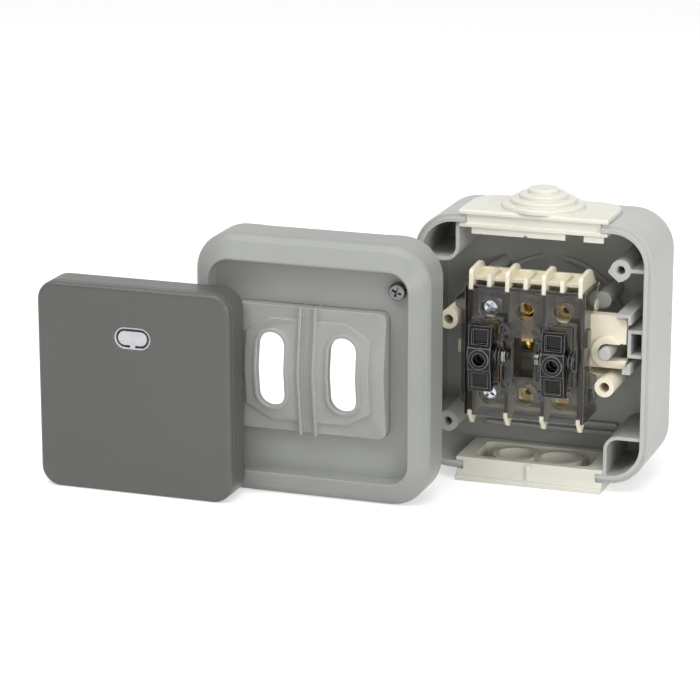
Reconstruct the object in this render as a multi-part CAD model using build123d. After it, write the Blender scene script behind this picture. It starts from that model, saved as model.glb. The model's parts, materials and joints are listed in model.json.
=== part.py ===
"""Surface-mounted pushbutton switch, taken apart as three groups that stand on one surface.

The box with the switch mechanism stands at the right, the cover frame in front of it to the
left, and the button plate in front of the frame. Fronts face -Y. Millimetres, +Z up.
"""
import os
from math import radians, sin

from build123d import *

# Box
BOX_WIDTH = 72.0
BOX_HEIGHT = 78.0
BOX_DEPTH = 28.5
CORNER_RADIUS = 12.0
LEDGE_WIDTH = 1.2
LIP_WIDTH = 1.2
LIP_HEIGHT = 0.9
BACK_WALL = 2.0
BACK_EDGE_RADIUS = 1.6
RIB = 1.0
FLOOR_RIB = 1.2
FLOOR_RIB_HEIGHT = 1.9
ARC_RADIUS = 22.9
ARC_GAP = 7.2
ARC_LOW_Z = 6.0
BAR_ZS = (-28.6, -31.2)
BACK_POSTS = ((2.0, -15.6, 19.6), (2.6, 18.9, 14.0))
BACK_POST_FRONT = 10.6
SEAT_GAP = 0.1

# Corner wells for the two wall screws, and posts for the two cover screws
WELL_X = 23.5
WELL_Z = 25.5
WELL_RADIUS = 3.4
WALL_SCREW_X = 29.6
WALL_SCREW_Z = 32.0
WALL_SCREW_HOLE_RADIUS = 2.2
COVER_SCREW_X = 26.0
COVER_SCREW_Z = 25.3
POST_RADIUS = 3.1
POST_SETBACK = 2.6
PILOT_RADIUS = 1.35
PILOT_DEPTH = 14.0

# Cable entries, slid into slots in the top and bottom walls
SLOT_WIDTH = 41.0
SLOT_DEPTH = 21.0
SLIDE_GAP = 0.15
ENTRY_OVERHANG = 2.0
TOP_PLATE = 1.3
ENTRY_FLANGE = 1.2
ENTRY_SETBACK = 0.3
NECK_SETBACK = 0.8
ENTRY_CORNER_RADIUS = 8.5
FOOT_HEIGHT = 3.2
FOOT_FLARE = 1.8
FOOT_LIP = 1.3
CONE_RADII = (12.3, 9.8, 7.2, 4.7)
CONE_STEP = 1.45
CONE_SKIN = 0.8
CONE_EDGE_RADIUS = 0.55
TONGUE_DROP = 2.0
TONGUES = ((-4.5, 28.3), (18.2, 5.9))
TONGUE_NOTCH_X = -2.3
CUP_RADIUS = 7.2
CUP_WALL = 1.2
CUP_DEPTH = 4.6
TRAY_RIM = 2.6

# Cover frame and its soft sealing membrane
FRAME_SIDE = 11.1
FRAME_PROUD = 5.0
FRAME_SHOULDERS = ((1.0, 1.0, 0.5, -1.0), (3.4, 4.2, 1.6, -2.4))
OPENING_WIDTH = 61.2
OPENING_HEIGHT = 63.4
OPENING_RADIUS = 6.3
EDGE_LAND = 0.5
FLOOR_DROP = 5.5
FLOOR = 1.6
ENTRY_NOTCH_WIDTH = 38.6
ENTRY_NOTCH_DEPTH = 0.5
BOSS_WALL = 1.3
PAD_WIDTH = 46.8
PAD_HEIGHT = 37.6
PAD_RADIUS = 2.4
PAD_RISE_MIDDLE = 6.0
PAD_RISE_END = 3.4
PAD_SKIN = 1.1
PAD_FLANGE = 2.2
PAD_FLANGE_THICKNESS = 0.9
SLEEVE_WIDTH = 8.4
SLEEVE_HEIGHT = 22.4
SLEEVE_RING = 1.0
SLEEVE_RING_HEIGHT = 0.5
STEP_PAD_RISE = 0.8
STEP_PAD_OUT = 19.0
STEP_PAD_HALF_HEIGHT = 15.2
STEP_PAD_CORNER_Z = 11.0
STEP_PAD_SHOULDER_X = 11.6
MIDDLE_RIB = 0.9
MIDDLE_RIB_X = 2.3
MIDDLE_RIB_RISE = 1.6
MIDDLE_RIB_PROUD = 0.5

# Cover screws
SCREW_HEAD_RADIUS = 2.6
SCREW_HEAD_HEIGHT = 2.0
SCREW_SHANK_RADIUS = 1.25
SCREW_REACH = 9.0
SCREW_RECESS_RADIUS = 1.5
SCREW_RECESS_DEPTH = 1.2
SCREW_GAP = 0.25

# Button plate and its window
PLATE_GAP = 0.25
PLATE_DEPTH = 11.0
PLATE_WALL = 1.8
PLATE_EDGE_RADIUS = 1.6
PLATE_LINE_SETBACK = 2.2
PLATE_LINE = 0.5
WINDOW_Z = 16.2
WINDOW_WIDTH = 11.6
WINDOW_HEIGHT = 6.8
WINDOW_PAD_WIDTH = 9.0
WINDOW_PAD_HEIGHT = 4.1
WINDOW_SETBACK = 0.2
WINDOW_RIM = 0.45
WINDOW_GROOVE = 1.1
WINDOW_NUB = 1.5
WINDOW_GAP = 0.1
PEG_RADIUS = 1.8
PEG_SPLIT = 0.8

# Switch mechanism
TERMINAL_PITCH = 11.0
TERMINAL_ROW_Z = 12.9
FIN = 1.2
BASE_BACK = 10.0
BASE_FLOOR = 1.6
BAY_WALL = 0.8
COMB_TOP = 24.8
COMB_WALL_TOP = 22.9
COMB_WALL_Y = 3.4
COMB_WALL = 1.4
COMB_TIP = -22.9
COMB_TIP_SETBACK = 2.6
COMB_TIP_DEPTH = 7.2
COMB_CORNER = 1.5
SHELF_RISE = 1.4
SHORT_FIN_HEIGHT = 3.4
SHORT_FIN_RISE = 1.5
BAY_WALL_DEPTH = 5.0
SNAP_BOSS_LENGTH = 4.4
SNAP_BOSS_HEIGHT = 3.6
SNAP_BOSS_Y = 6.6
SNAP_BOSS_Z = 13.3
SNAP_BOSS_RISE = 1.2
TAB_X = 22.2
TAB_Z = -0.9
TAB_HEIGHT = 3.8
TAB_SETBACK = 0.7
SMOKED_FRONT = -6.5
SMOKED_PLATE = 1.4
SMOKED_HEIGHT = 39.5
SMOKED_SIDE = 0.9
SMOKED_SIDE_DEPTH = 16.3
SMOKED_SHOULDER = 5.3
SMOKED_TOP = 0.8
SMOKED_TOP_DEPTH = 5.6
SMOKED_TOP_DROP = 0.75
LAMP_WELL_WIDTH = 6.6
LAMP_WELL_HEIGHT = 12.0
LAMP_WELL_Z = -1.0
LAMP_WELL_DEPTH = 10.0
LAMP_WELL_WALL = 0.8
WING_FRONT = -2.2
WING = 1.2
WING_LEFT = 22.4
WING_ROOT = 20.6
WING_HIGH = (18.6, 14.6, 11.9, 10.9)
WING_LOW = (-16.8, -18.6)
CLIP_X = 20.5
CLIP_ZS = (-5.0, -5.8, -13.2, -15.0)
SIDE_TAB_Z = 6.2
SIDE_TAB_HEIGHT = 5.4
WINDOW_FRAME = 0.8
WINDOW_FRAME_RISE = 1.5
SPRING_BLOCK_RISE = 1.3
SPRING_BLOCK_X = 3.4
SPRING_BLOCK_Z = -1.7
SPRING_BLOCK_HEIGHT = 11.8
SPRING_BLOCK_RADIUS = 0.8
KNOB_RADIUS = 1.5
KNOB_RISE = 1.6
KNOBS = ((3.9, 7.6), (-5.6, 7.4), (-4.2, -8.8), (4.9, -12.0), (-6.2, -11.5))
GUIDE_RADIUS = 2.75
GUIDE_WALL = 0.6
GUIDE_DEPTH = 1.6
EAR_X = 23.8
EAR_Z = 8.2
EAR_RADIUS = 2.9
EAR_HOLE_RADIUS = 1.5
EAR_FRONT = -4.8
LUG_END_X = 28.6
LUG_HIGH = 12.0
LUG_LOW = -3.8
LUG_FRONT = 1.0
LUG_THICKNESS = 3.6
COLLAR_RADIUS = 4.6
COLLAR_RISE = 1.2
STUD_X = 23.1
STUD_Z = 1.2
STUD_FRONT = -3.0
STUD_RADIUS = 1.9
STUD_GAP = 0.6
HOOK_X = 26.0
HOOK_END_X = 30.4
HOOK_FRONT = -1.0
TUBE_X = 29.0
TUBE_Z = 3.9
TUBE_HEIGHT = 8.4

# Rockers: each tilts about its two pivot pins
ROCKER_WIDTH = 6.8
ROCKER_HEIGHT = 19.6
ROCKER_FRONT = -16.0
ROCKER_END_DROP = 1.3
ROCKER_STEP = 0.5
ROCKER_WALL = 1.0
ROCKER_PANEL_DROP = 1.1
ROCKER_BLOCK_HALF = 3.3
ROCKER_END_DEPTH = 2.2
ROCKER_WAIST = 0.6
SOCKET_RING_RISE = 0.3
PIVOT_Y = -9.8
PIVOT_RADIUS = 1.2
PIVOT_GAP = 0.05
BEARING_WALL = 1.2
BEARING_GAP = 0.25
BEARING_RADIUS = 2.5
SOCKET_GAP = 0.1
SOCKET_DEPTH = 3.2
TRAVEL_DEG = 5.0
BARREL_RADIUS = 2.4
BARREL_BACK = -2.0
PIN_END = 0.15
SPRING_ROOM = 2.2
SPRING_TURNS = 3

# Contacts in the left column
STRIP = 0.8
STRIP_WIDTH = 5.0
TAB_Y = 1.6
LEG_Y = 5.35
RISER_Z = 8.4
TAB_END_Z = 16.1
LINK_THICKNESS = 0.7
LINK_FRONT = 3.3
LINK_UP = 6.5
LINK_DOWN = 5.5
LINK_TURN_RATIO = 1.2
TIP_RADIUS = 1.2
TIP_THICKNESS = 0.5
CONTACT_CLEARANCE = 0.06
LEG_SHORTFALL = 3.6
LEG_OVERRUN = 1.5
KNIFE_HALF = 0.8
TIP_INSET = 0.2
LAMP_BLADE_WIDTH = 3.6
LAMP_BLADE_DROP = 1.6
PLUNGER_RADIUS = 1.3
PLUNGER_GAP = 0.08
PLUNGER_LENGTH = 6.0
PLUNGER_SPRING_SETBACK = 3.4
PLUNGER_SPRING_TURNS = 6
WIRE_RADIUS = 0.19
TERMINAL_SCREW_FRONT = -4.2
TERMINAL_HEAD_RADIUS = 2.4
TERMINAL_HEAD_HEIGHT = 1.9
TERMINAL_SHANK_RADIUS = 1.5
TERMINAL_SCREW_PAST = 2.0
CLAMP_SIZE = 5.6
CLAMP_THICKNESS = 1.0

# How the three groups stand
COVER_LEFT_OF_BOX = 57.2
COVER_TO_RIM = 18.4
PLATE_LEFT_OF_COVER = 49.85
PLATE_TO_FRAME = 0.8

# Sizes worked out from the ones above
WALL = LEDGE_WIDTH + LIP_WIDTH
INNER_WIDTH = BOX_WIDTH - 2 * WALL
INNER_HEIGHT = BOX_HEIGHT - 2 * WALL
INNER_RADIUS = CORNER_RADIUS - WALL
FLOOR_Y = BOX_DEPTH - BACK_WALL
BOX_TOP = BOX_HEIGHT / 2
INNER_TOP = INNER_HEIGHT / 2
SKIRT_WALL = LEDGE_WIDTH - SEAT_GAP
COVER_FLOOR_Y = FLOOR_DROP - FRAME_PROUD
PLATE_WIDTH = OPENING_WIDTH - 2 * PLATE_GAP
PLATE_HEIGHT = OPENING_HEIGHT - 2 * PLATE_GAP
PLATE_RADIUS = OPENING_RADIUS - PLATE_GAP
OUTER_FIN_X = 1.5 * TERMINAL_PITCH
BASE_WIDTH = 2 * OUTER_FIN_X + FIN
BASE_FRONT = SMOKED_FRONT + SMOKED_PLATE
BASE_FLOOR_Y = BASE_BACK - BASE_FLOOR
ROCKER_X = TERMINAL_PITCH
WINDOW_HALF_Z = TERMINAL_ROW_Z - GUIDE_RADIUS - GUIDE_WALL
CLAMP_HEIGHT = 2 * (TERMINAL_ROW_Z - WINDOW_HALF_Z - BAY_WALL - SEAT_GAP)
LINK_BACK = LINK_FRONT + LINK_THICKNESS
PLUNGER_TIP = LINK_FRONT - PLUNGER_GAP
LINK_PIVOT_Z = (PLUNGER_TIP - PIVOT_Y) * sin(radians(TRAVEL_DEG)) / 2
LINK_TURN_DEG = LINK_TURN_RATIO * TRAVEL_DEG


def slab(width, height, radius, front, depth, x=0.0, z=0.0):
    """Upright plate in the XZ plane; its front face is at y = front and it goes back by depth."""
    outline = RectangleRounded(width, height, radius) if radius > 0 else Rectangle(width, height)
    return Pos(x, front + depth, z) * extrude(Plane.XZ * outline, depth)


def rod(radius, front, depth, x=0.0, z=0.0):
    """Round bar along Y."""
    return Pos(x, front + depth, z) * extrude(Plane.XZ * Circle(radius), depth)


def oblong(width, height, front, depth, x=0.0, z=0.0):
    """Bar with round ends, seen from the front; the longer side sets its direction."""
    if width > height:
        outline = SlotOverall(width, height)
    else:
        outline = SlotOverall(height, width, rotation=90)
    return Pos(x, front + depth, z) * extrude(Plane.XZ * outline, depth)


def profile(points, width, x=0.0):
    """Solid from a side outline of (y, z) points, centred on x."""
    outline = make_face(Polyline(*points, close=True))
    return Pos(x - width / 2, 0, 0) * extrude(Plane.YZ * outline, width)


def hull_between(sections):
    """Straight-sided solid through rounded rectangles of (width, height, radius, y)."""
    faces = [Pos(0, y, 0) * (Plane.XZ * RectangleRounded(w, h, r)) for w, h, r, y in sections]
    return loft(faces, ruled=True)


def wells(front, grow):
    """The two corner wells, top left and bottom right, grown by a wall."""
    size_x = BOX_WIDTH / 2 - WELL_X
    size_z = BOX_HEIGHT / 2 - WELL_Z
    blocks = Part()
    for side in (-1, 1):
        blocks += slab(
            2 * (size_x + grow), 2 * (size_z + grow), WELL_RADIUS + grow, front, FLOOR_Y - front,
            side * BOX_WIDTH / 2, -side * BOX_HEIGHT / 2,
        )
    return blocks


def cover_posts():
    """Posts for the cover screws, top right and bottom left, each with a rib to the side wall."""
    posts = Part()
    depth = FLOOR_Y - POST_SETBACK
    for side in (-1, 1):
        x, z = side * COVER_SCREW_X, side * COVER_SCREW_Z
        posts += rod(POST_RADIUS, POST_SETBACK, depth, x, z)
        web = INNER_WIDTH / 2 - COVER_SCREW_X + LIP_WIDTH / 2
        posts += slab(web, RIB, 0, POST_SETBACK, depth, x + side * web / 2, z)
    corner = POST_RADIUS + RIB / 2
    flank = [
        (-corner, 0), (-corner, -RIB), (-RIB / 2, -corner), (RIB, -POST_RADIUS), (RIB, 0),
    ]
    spot = Pos(COVER_SCREW_X, POST_SETBACK + depth, COVER_SCREW_Z)
    return posts + spot * extrude(Plane.XZ * make_face(Polyline(*flank, close=True)), depth)


def box_hooks():
    """Two L-shaped hooks, a guide tube and a stud that hold the mechanism's forked lug."""
    hooks = Part()
    depth = FLOOR_Y - HOOK_FRONT
    for side, edge_z, left in ((1, LUG_HIGH, HOOK_X), (-1, LUG_LOW, HOOK_X + 2 * RIB)):
        near = edge_z + side * SEAT_GAP
        z = near + side * RIB / 2
        hooks += slab(HOOK_END_X - left, RIB, 0, HOOK_FRONT, depth, (HOOK_END_X + left) / 2, z)
        hooks += slab(RIB, 3 * RIB, 0, HOOK_FRONT, depth, HOOK_END_X - RIB / 2, z - side * RIB)
        tooth = [
            (LUG_FRONT - SEAT_GAP, z), (LUG_FRONT - SEAT_GAP, z - side * 1.6 * RIB),
            (HOOK_FRONT, z - side * RIB / 2), (HOOK_FRONT, z),
        ]
        hooks += profile(tooth, 2 * RIB, left + RIB)
    wall_x = INNER_WIDTH / 2 + LIP_WIDTH / 2
    width, tube_x = wall_x - TUBE_X, (wall_x + TUBE_X) / 2
    tube = slab(width, TUBE_HEIGHT, 0, LUG_FRONT, FLOOR_Y - LUG_FRONT, tube_x, TUBE_Z)
    tube -= slab(width - 2 * RIB, TUBE_HEIGHT - 2 * RIB, 0, 0, FLOOR_Y, tube_x, TUBE_Z)
    stud = rod(STUD_RADIUS, STUD_FRONT, FLOOR_Y - STUD_FRONT, STUD_X, STUD_Z)
    stud = fillet(stud.edges().sort_by(Axis.Y)[0], STUD_RADIUS / 4)
    return hooks + tube + stud


def floor_ribs():
    """Ribs on the box's back wall: two arcs above the mechanism and two bars below it."""
    front = FLOOR_Y - FLOOR_RIB_HEIGHT
    arcs = rod(ARC_RADIUS, front, FLOOR_RIB_HEIGHT)
    arcs -= rod(ARC_RADIUS - FLOOR_RIB, front, FLOOR_RIB_HEIGHT)
    arcs -= slab(ARC_GAP, 2 * ARC_RADIUS, 0, front, FLOOR_RIB_HEIGHT, 0, ARC_RADIUS)
    arcs -= slab(2 * ARC_RADIUS + 2, 2 * ARC_RADIUS, 0, front, FLOOR_RIB_HEIGHT, 0,
                 ARC_LOW_Z - ARC_RADIUS)
    middle = ARC_RADIUS - FLOOR_RIB / 2
    end_z = (middle ** 2 - (ARC_GAP / 2) ** 2) ** 0.5
    for side in (-1, 1):
        arcs += rod(FLOOR_RIB / 2, front, FLOOR_RIB_HEIGHT, side * ARC_GAP / 2, end_z)
    for z in BAR_ZS:
        arcs += slab(SLOT_WIDTH, FLOOR_RIB, 0, front, FLOOR_RIB_HEIGHT, 0, z)
    for radius, x, z in BACK_POSTS:
        arcs += rod(radius, BACK_POST_FRONT, FLOOR_Y - BACK_POST_FRONT, x, z)
    return arcs


def mechanism_bosses():
    """Bosses behind the mechanism's two ears."""
    bosses = Part()
    for side in (-1, 1):
        x, z = side * EAR_X, -side * EAR_Z
        bosses += rod(EAR_RADIUS, BASE_BACK, FLOOR_Y - BASE_BACK, x, z)
    return bosses


def entry_slot(side):
    """Open slot in the top (1) or bottom (-1) wall for a cable entry."""
    z = side * (BOX_TOP + INNER_TOP) / 2
    return Pos(0, (SLOT_DEPTH - 1) / 2, z) * Box(SLOT_WIDTH, SLOT_DEPTH + 1, WALL + 2 * RIB)


def box_shell():
    outside = slab(BOX_WIDTH, BOX_HEIGHT, CORNER_RADIUS, 0, BOX_DEPTH)
    back_edges = outside.faces().sort_by(Axis.Y)[-1].edges()
    outside = fillet(back_edges, BACK_EDGE_RADIUS)
    cavity = slab(INNER_WIDTH, INNER_HEIGHT, INNER_RADIUS, -1, FLOOR_Y + 1)
    step = slab(BOX_WIDTH + 2, BOX_HEIGHT + 2, CORNER_RADIUS, -1, LIP_HEIGHT + 1)
    step -= slab(
        BOX_WIDTH - 2 * LEDGE_WIDTH, BOX_HEIGHT - 2 * LEDGE_WIDTH, CORNER_RADIUS - LEDGE_WIDTH,
        -1, LIP_HEIGHT + 1,
    )
    shell = outside - cavity - step
    shell += (wells(LIP_HEIGHT, RIB) - wells(LIP_HEIGHT, 0)) & outside
    shell += cover_posts() + box_hooks() + floor_ribs() + mechanism_bosses()
    shell -= entry_slot(1)
    shell -= entry_slot(-1)
    for side in (-1, 1):
        shell -= rod(WALL_SCREW_HOLE_RADIUS, FLOOR_Y - 1, BACK_WALL + 2,
                     side * WALL_SCREW_X, -side * WALL_SCREW_Z)
        shell -= rod(PILOT_RADIUS, POST_SETBACK - 1, PILOT_DEPTH + 1,
                     side * COVER_SCREW_X, side * COVER_SCREW_Z)
        shell -= rod(PILOT_RADIUS, BASE_BACK - 1, PILOT_DEPTH / 2 + 1,
                     side * EAR_X, -side * EAR_Z)
    return shell


def entry_plate(width, depth, low, high):
    """Flat plate of a cable entry with two round corners at the back."""
    plate = Pos(0, ENTRY_SETBACK + depth / 2, (low + high) / 2) * Box(width, depth, high - low)
    rear = plate.edges().filter_by(Axis.Z).sort_by(Axis.Y)[-2:]
    return fillet(rear, ENTRY_CORNER_RADIUS)


def stepped_cone(skin):
    """Membrane in rising steps; skin takes the wall off its inside."""
    cone = Part()
    for index, radius in enumerate(CONE_RADII):
        height = CONE_STEP * (index + 1) - skin
        step = Pos(0, 0, height / 2) * Cylinder(radius - skin, height)
        if not skin:
            step = fillet(step.edges().sort_by(Axis.Z)[-1], CONE_EDGE_RADIUS)
        cone += step
    return cone


def top_cable_entry():
    outer_width = SLOT_WIDTH + 2 * ENTRY_OVERHANG
    neck_width = SLOT_WIDTH - 2 * SLIDE_GAP
    plate = entry_plate(outer_width, SLOT_DEPTH + ENTRY_OVERHANG, BOX_TOP + SEAT_GAP,
                        BOX_TOP + SEAT_GAP + TOP_PLATE)
    front_edge = plate.faces().sort_by(Axis.Z)[-1].edges().sort_by(Axis.Y)[0]
    plate = fillet(front_edge, TOP_PLATE / 2)
    neck_depth = SLOT_DEPTH - SLIDE_GAP - ENTRY_SETBACK
    low = INNER_TOP - SEAT_GAP - ENTRY_FLANGE
    neck = Pos(0, ENTRY_SETBACK + NECK_SETBACK / 2 + neck_depth / 2, (low + BOX_TOP + 0.5) / 2) * Box(
        neck_width, neck_depth - NECK_SETBACK, BOX_TOP + 0.5 - low)
    flange = Pos(0, ENTRY_SETBACK + neck_depth / 2, low + ENTRY_FLANGE / 2) * Box(
        outer_width - 2 * SLIDE_GAP, neck_depth, ENTRY_FLANGE)
    centre = (0, ENTRY_SETBACK + SLOT_DEPTH / 2 + 1, BOX_TOP + SEAT_GAP + TOP_PLATE)
    entry = plate + neck + flange + Pos(*centre) * stepped_cone(0)
    entry -= Pos(*centre) * stepped_cone(CONE_SKIN)
    entry -= Pos(centre[0], centre[1], low) * Cylinder(CONE_RADII[1], 2 * (centre[2] - low))
    for x, width in TONGUES:
        entry += Pos(x, ENTRY_SETBACK + RIB, low - TONGUE_DROP / 2) * Box(width, RIB, TONGUE_DROP)
    return entry - Pos(TONGUE_NOTCH_X, ENTRY_SETBACK + RIB, low - TONGUE_DROP) * Box(
        RIB, 2 * RIB, TONGUE_DROP / 2)


def bottom_cable_entry():
    outer_width = SLOT_WIDTH + 2 * ENTRY_OVERHANG
    neck_width = SLOT_WIDTH - 2 * SLIDE_GAP
    neck_depth = SLOT_DEPTH - SLIDE_GAP - ENTRY_SETBACK
    rail_top = -INNER_TOP + SEAT_GAP + ENTRY_FLANGE
    foot_top = -BOX_TOP - SEAT_GAP
    foot_low = -BOX_TOP - FOOT_HEIGHT
    foot = entry_plate(outer_width - 2 * SLIDE_GAP, neck_depth, foot_low, foot_top)
    lip = [
        (ENTRY_SETBACK + 1, foot_top), (ENTRY_SETBACK, foot_top),
        (ENTRY_SETBACK - FOOT_FLARE / 4, foot_low + 1.3 * FOOT_LIP),
        (ENTRY_SETBACK - FOOT_FLARE, foot_low + FOOT_LIP),
        (ENTRY_SETBACK - FOOT_FLARE, foot_low), (ENTRY_SETBACK + 1, foot_low),
    ]
    foot += profile(lip, outer_width - 2 * SLIDE_GAP)
    neck = Pos(0, ENTRY_SETBACK + neck_depth / 2, (rail_top + foot_low) / 2) * Box(
        neck_width, neck_depth, rail_top - foot_low)
    rail = Pos(0, ENTRY_SETBACK + neck_depth / 2, rail_top - ENTRY_FLANGE / 2) * Box(
        outer_width, neck_depth, ENTRY_FLANGE)
    entry = foot + neck + rail
    centre_y = ENTRY_SETBACK + neck_depth / 2
    cup_x = CUP_RADIUS - CUP_WALL / 2
    cavity = Pos(0, centre_y, rail_top - CUP_DEPTH / 2) * Box(
        neck_width - 2 * TRAY_RIM, neck_depth - 2 * TRAY_RIM, CUP_DEPTH)
    entry -= fillet(cavity.edges().filter_by(Axis.Z), TRAY_RIM)
    for side in (-1, 1):
        spot = Pos(side * cup_x, centre_y, rail_top)
        entry += spot * Pos(0, 0, -CUP_DEPTH / 2 - RIB / 4) * Cylinder(
            CUP_RADIUS, CUP_DEPTH - RIB / 2)
    for x in (-2 * cup_x, 0, 2 * cup_x):
        entry += Pos(x, centre_y, rail_top - CUP_DEPTH / 2 - RIB) * Box(
            RIB, neck_depth - 2 * TRAY_RIM + 0.2, CUP_DEPTH - RIB)
    for side in (-1, 1):
        spot = Pos(side * cup_x, centre_y, rail_top)
        bowl_radius = CUP_RADIUS - CUP_WALL
        entry -= spot * Pos(0, 0, bowl_radius / 4) * scale(Sphere(bowl_radius), (1, 1, 0.8))
    nub_low, nub_top = foot_low + FOOT_LIP / 2, rail_top - FLOOR_RIB / 2
    return entry + Pos(0, ENTRY_SETBACK, (nub_low + nub_top) / 2) * Box(
        FLOOR_RIB, FOOT_FLARE, nub_top - nub_low)


def cover_frame():
    sections = [(BOX_WIDTH, BOX_HEIGHT, CORNER_RADIUS, 0)]
    for narrower, lower, sharper, y in FRAME_SHOULDERS:
        sections.append((BOX_WIDTH - narrower, BOX_HEIGHT - lower, CORNER_RADIUS - sharper, y))
    sections.append((OPENING_WIDTH + 2 * EDGE_LAND, OPENING_HEIGHT + 2 * EDGE_LAND,
                     OPENING_RADIUS + EDGE_LAND, -FRAME_PROUD))
    rim = hull_between(sections)
    solid = slab(BOX_WIDTH, BOX_HEIGHT, CORNER_RADIUS, 0, FRAME_SIDE) + rim
    well_depth = FLOOR_DROP + 1
    solid -= slab(OPENING_WIDTH, OPENING_HEIGHT, OPENING_RADIUS, -FRAME_PROUD - 1, well_depth)
    hollow_front = COVER_FLOOR_Y + FLOOR
    skirt = slab(BOX_WIDTH - 2 * SKIRT_WALL, BOX_HEIGHT - 2 * SKIRT_WALL,
                 CORNER_RADIUS - SKIRT_WALL, hollow_front, FRAME_SIDE)
    solid -= skirt
    solid -= slab(PAD_WIDTH + 2 * SEAT_GAP, PAD_HEIGHT + 2 * SEAT_GAP, PAD_RADIUS + SEAT_GAP,
                  COVER_FLOOR_Y - 1, FLOOR + 2)
    boss_depth = FRAME_SIDE - LIP_HEIGHT + POST_SETBACK - hollow_front
    for side in (-1, 1):
        x, z = side * COVER_SCREW_X, side * COVER_SCREW_Z
        bore = SCREW_SHANK_RADIUS + SCREW_GAP
        solid += rod(bore + BOSS_WALL, hollow_front, boss_depth, x, z)
        solid -= rod(bore, COVER_FLOOR_Y - 1, boss_depth + FLOOR + 2, x, z)
    notch_z = (BOX_HEIGHT - SKIRT_WALL) / 2
    for side in (-1, 1):
        solid -= Pos(0, FRAME_SIDE, side * notch_z) * Box(
            ENTRY_NOTCH_WIDTH, 2 * ENTRY_NOTCH_DEPTH, 2 * SKIRT_WALL)
    return solid


def roof(rise_end, rise_middle, back, width=PAD_WIDTH, height=PAD_HEIGHT):
    """Prism with a ridge across its middle; rises are measured forward of the cover floor."""
    half = height / 2
    outline = [
        (back, -half), (COVER_FLOOR_Y - rise_end, -half), (COVER_FLOOR_Y - rise_middle, 0),
        (COVER_FLOOR_Y - rise_end, half), (back, half),
    ]
    return profile(outline, width)


def round_upright(solid, radius):
    """Round the four edges that run from front to back."""
    return fillet(solid.edges().filter_by(Axis.Y), radius)


def step_pad_outline(side):
    """Low step round one sleeve, with two cut-off corners away from the middle."""
    inner = MIDDLE_RIB_X
    half = STEP_PAD_HALF_HEIGHT
    points = [
        (side * inner, -half), (side * STEP_PAD_SHOULDER_X, -half),
        (side * STEP_PAD_OUT, -STEP_PAD_CORNER_Z), (side * STEP_PAD_OUT, STEP_PAD_CORNER_Z),
        (side * STEP_PAD_SHOULDER_X, half), (side * inner, half),
    ]
    face = make_face(Polyline(*points, close=True))
    return Pos(0, COVER_FLOOR_Y, 0) * extrude(Plane.XZ * face, 3 * PAD_RISE_MIDDLE)


def sleeve(side, grow):
    """Round-ended opening for one rocker."""
    reach = 3 * PAD_RISE_MIDDLE
    return oblong(SLEEVE_WIDTH + 2 * grow, SLEEVE_HEIGHT + 2 * grow, COVER_FLOOR_Y - reach,
                  2 * reach, side * ROCKER_X)


def middle_rib(side):
    """Upright rib beside the middle of the pad; its round ends stand proud of the pad's ends."""
    front = COVER_FLOOR_Y - 3 * PAD_RISE_MIDDLE
    x = side * MIDDLE_RIB_X
    rib = slab(MIDDLE_RIB, PAD_HEIGHT, 0, front, COVER_FLOOR_Y + FLOOR - front, x)
    return rib + oblong(MIDDLE_RIB, PAD_HEIGHT + 2 * MIDDLE_RIB_PROUD, front,
                        COVER_FLOOR_Y - SEAT_GAP - front, x)


def sealing_membrane():
    back = COVER_FLOOR_Y + FLOOR + PAD_FLANGE_THICKNESS
    end, middle = PAD_RISE_END, PAD_RISE_MIDDLE
    pad = round_upright(roof(end, middle, back), PAD_RADIUS)
    inner_width, inner_height = PAD_WIDTH - 2 * PAD_SKIN, PAD_HEIGHT - 2 * PAD_SKIN
    hollow = roof(end - PAD_SKIN, middle - PAD_SKIN, back + 1, inner_width, inner_height)
    raised = roof(end + STEP_PAD_RISE, middle + STEP_PAD_RISE, back)
    rib_shape = roof(end + MIDDLE_RIB_RISE, middle + MIDDLE_RIB_RISE, back, PAD_WIDTH,
                     PAD_HEIGHT + 2 * MIDDLE_RIB_PROUD)
    ring_rise = STEP_PAD_RISE + SLEEVE_RING_HEIGHT
    ring_shape = roof(end + ring_rise, middle + ring_rise, back)
    for side in (-1, 1):
        pad += step_pad_outline(side) & raised
        pad += middle_rib(side) & rib_shape
        pad += sleeve(side, SLEEVE_RING) & ring_shape
    pad -= hollow
    pad -= sleeve(-1, 0) + sleeve(1, 0)
    flange = slab(PAD_WIDTH + 2 * PAD_FLANGE, PAD_HEIGHT + 2 * PAD_FLANGE,
                  PAD_RADIUS + PAD_FLANGE, COVER_FLOOR_Y + FLOOR, PAD_FLANGE_THICKNESS)
    flange -= slab(inner_width, inner_height, 0, COVER_FLOOR_Y, 4 * FLOOR)
    return pad + flange


def cross_recess(radius, depth):
    """Star-shaped driver recess that opens at y = 0."""
    bar = Box(2 * radius, 2 * depth, radius / 2.2)
    return bar + Rot(0, 90, 0) * bar


def cover_screws():
    screws = Part()
    head_front = COVER_FLOOR_Y - SCREW_HEAD_HEIGHT
    for side in (-1, 1):
        x, z = side * COVER_SCREW_X, side * COVER_SCREW_Z
        head = rod(SCREW_HEAD_RADIUS, head_front, SCREW_HEAD_HEIGHT, x, z)
        front_edge = head.edges().sort_by(Axis.Y)[0]
        head = fillet(front_edge, SCREW_HEAD_HEIGHT / 3)
        recess = cross_recess(SCREW_RECESS_RADIUS, SCREW_RECESS_DEPTH)
        head -= Pos(x, head_front, z) * Rot(0, 22, 0) * recess
        reach = FRAME_SIDE - LIP_HEIGHT + POST_SETBACK + SCREW_REACH
        screws += head + rod(SCREW_SHANK_RADIUS, COVER_FLOOR_Y, reach, x, z)
    return screws


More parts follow.
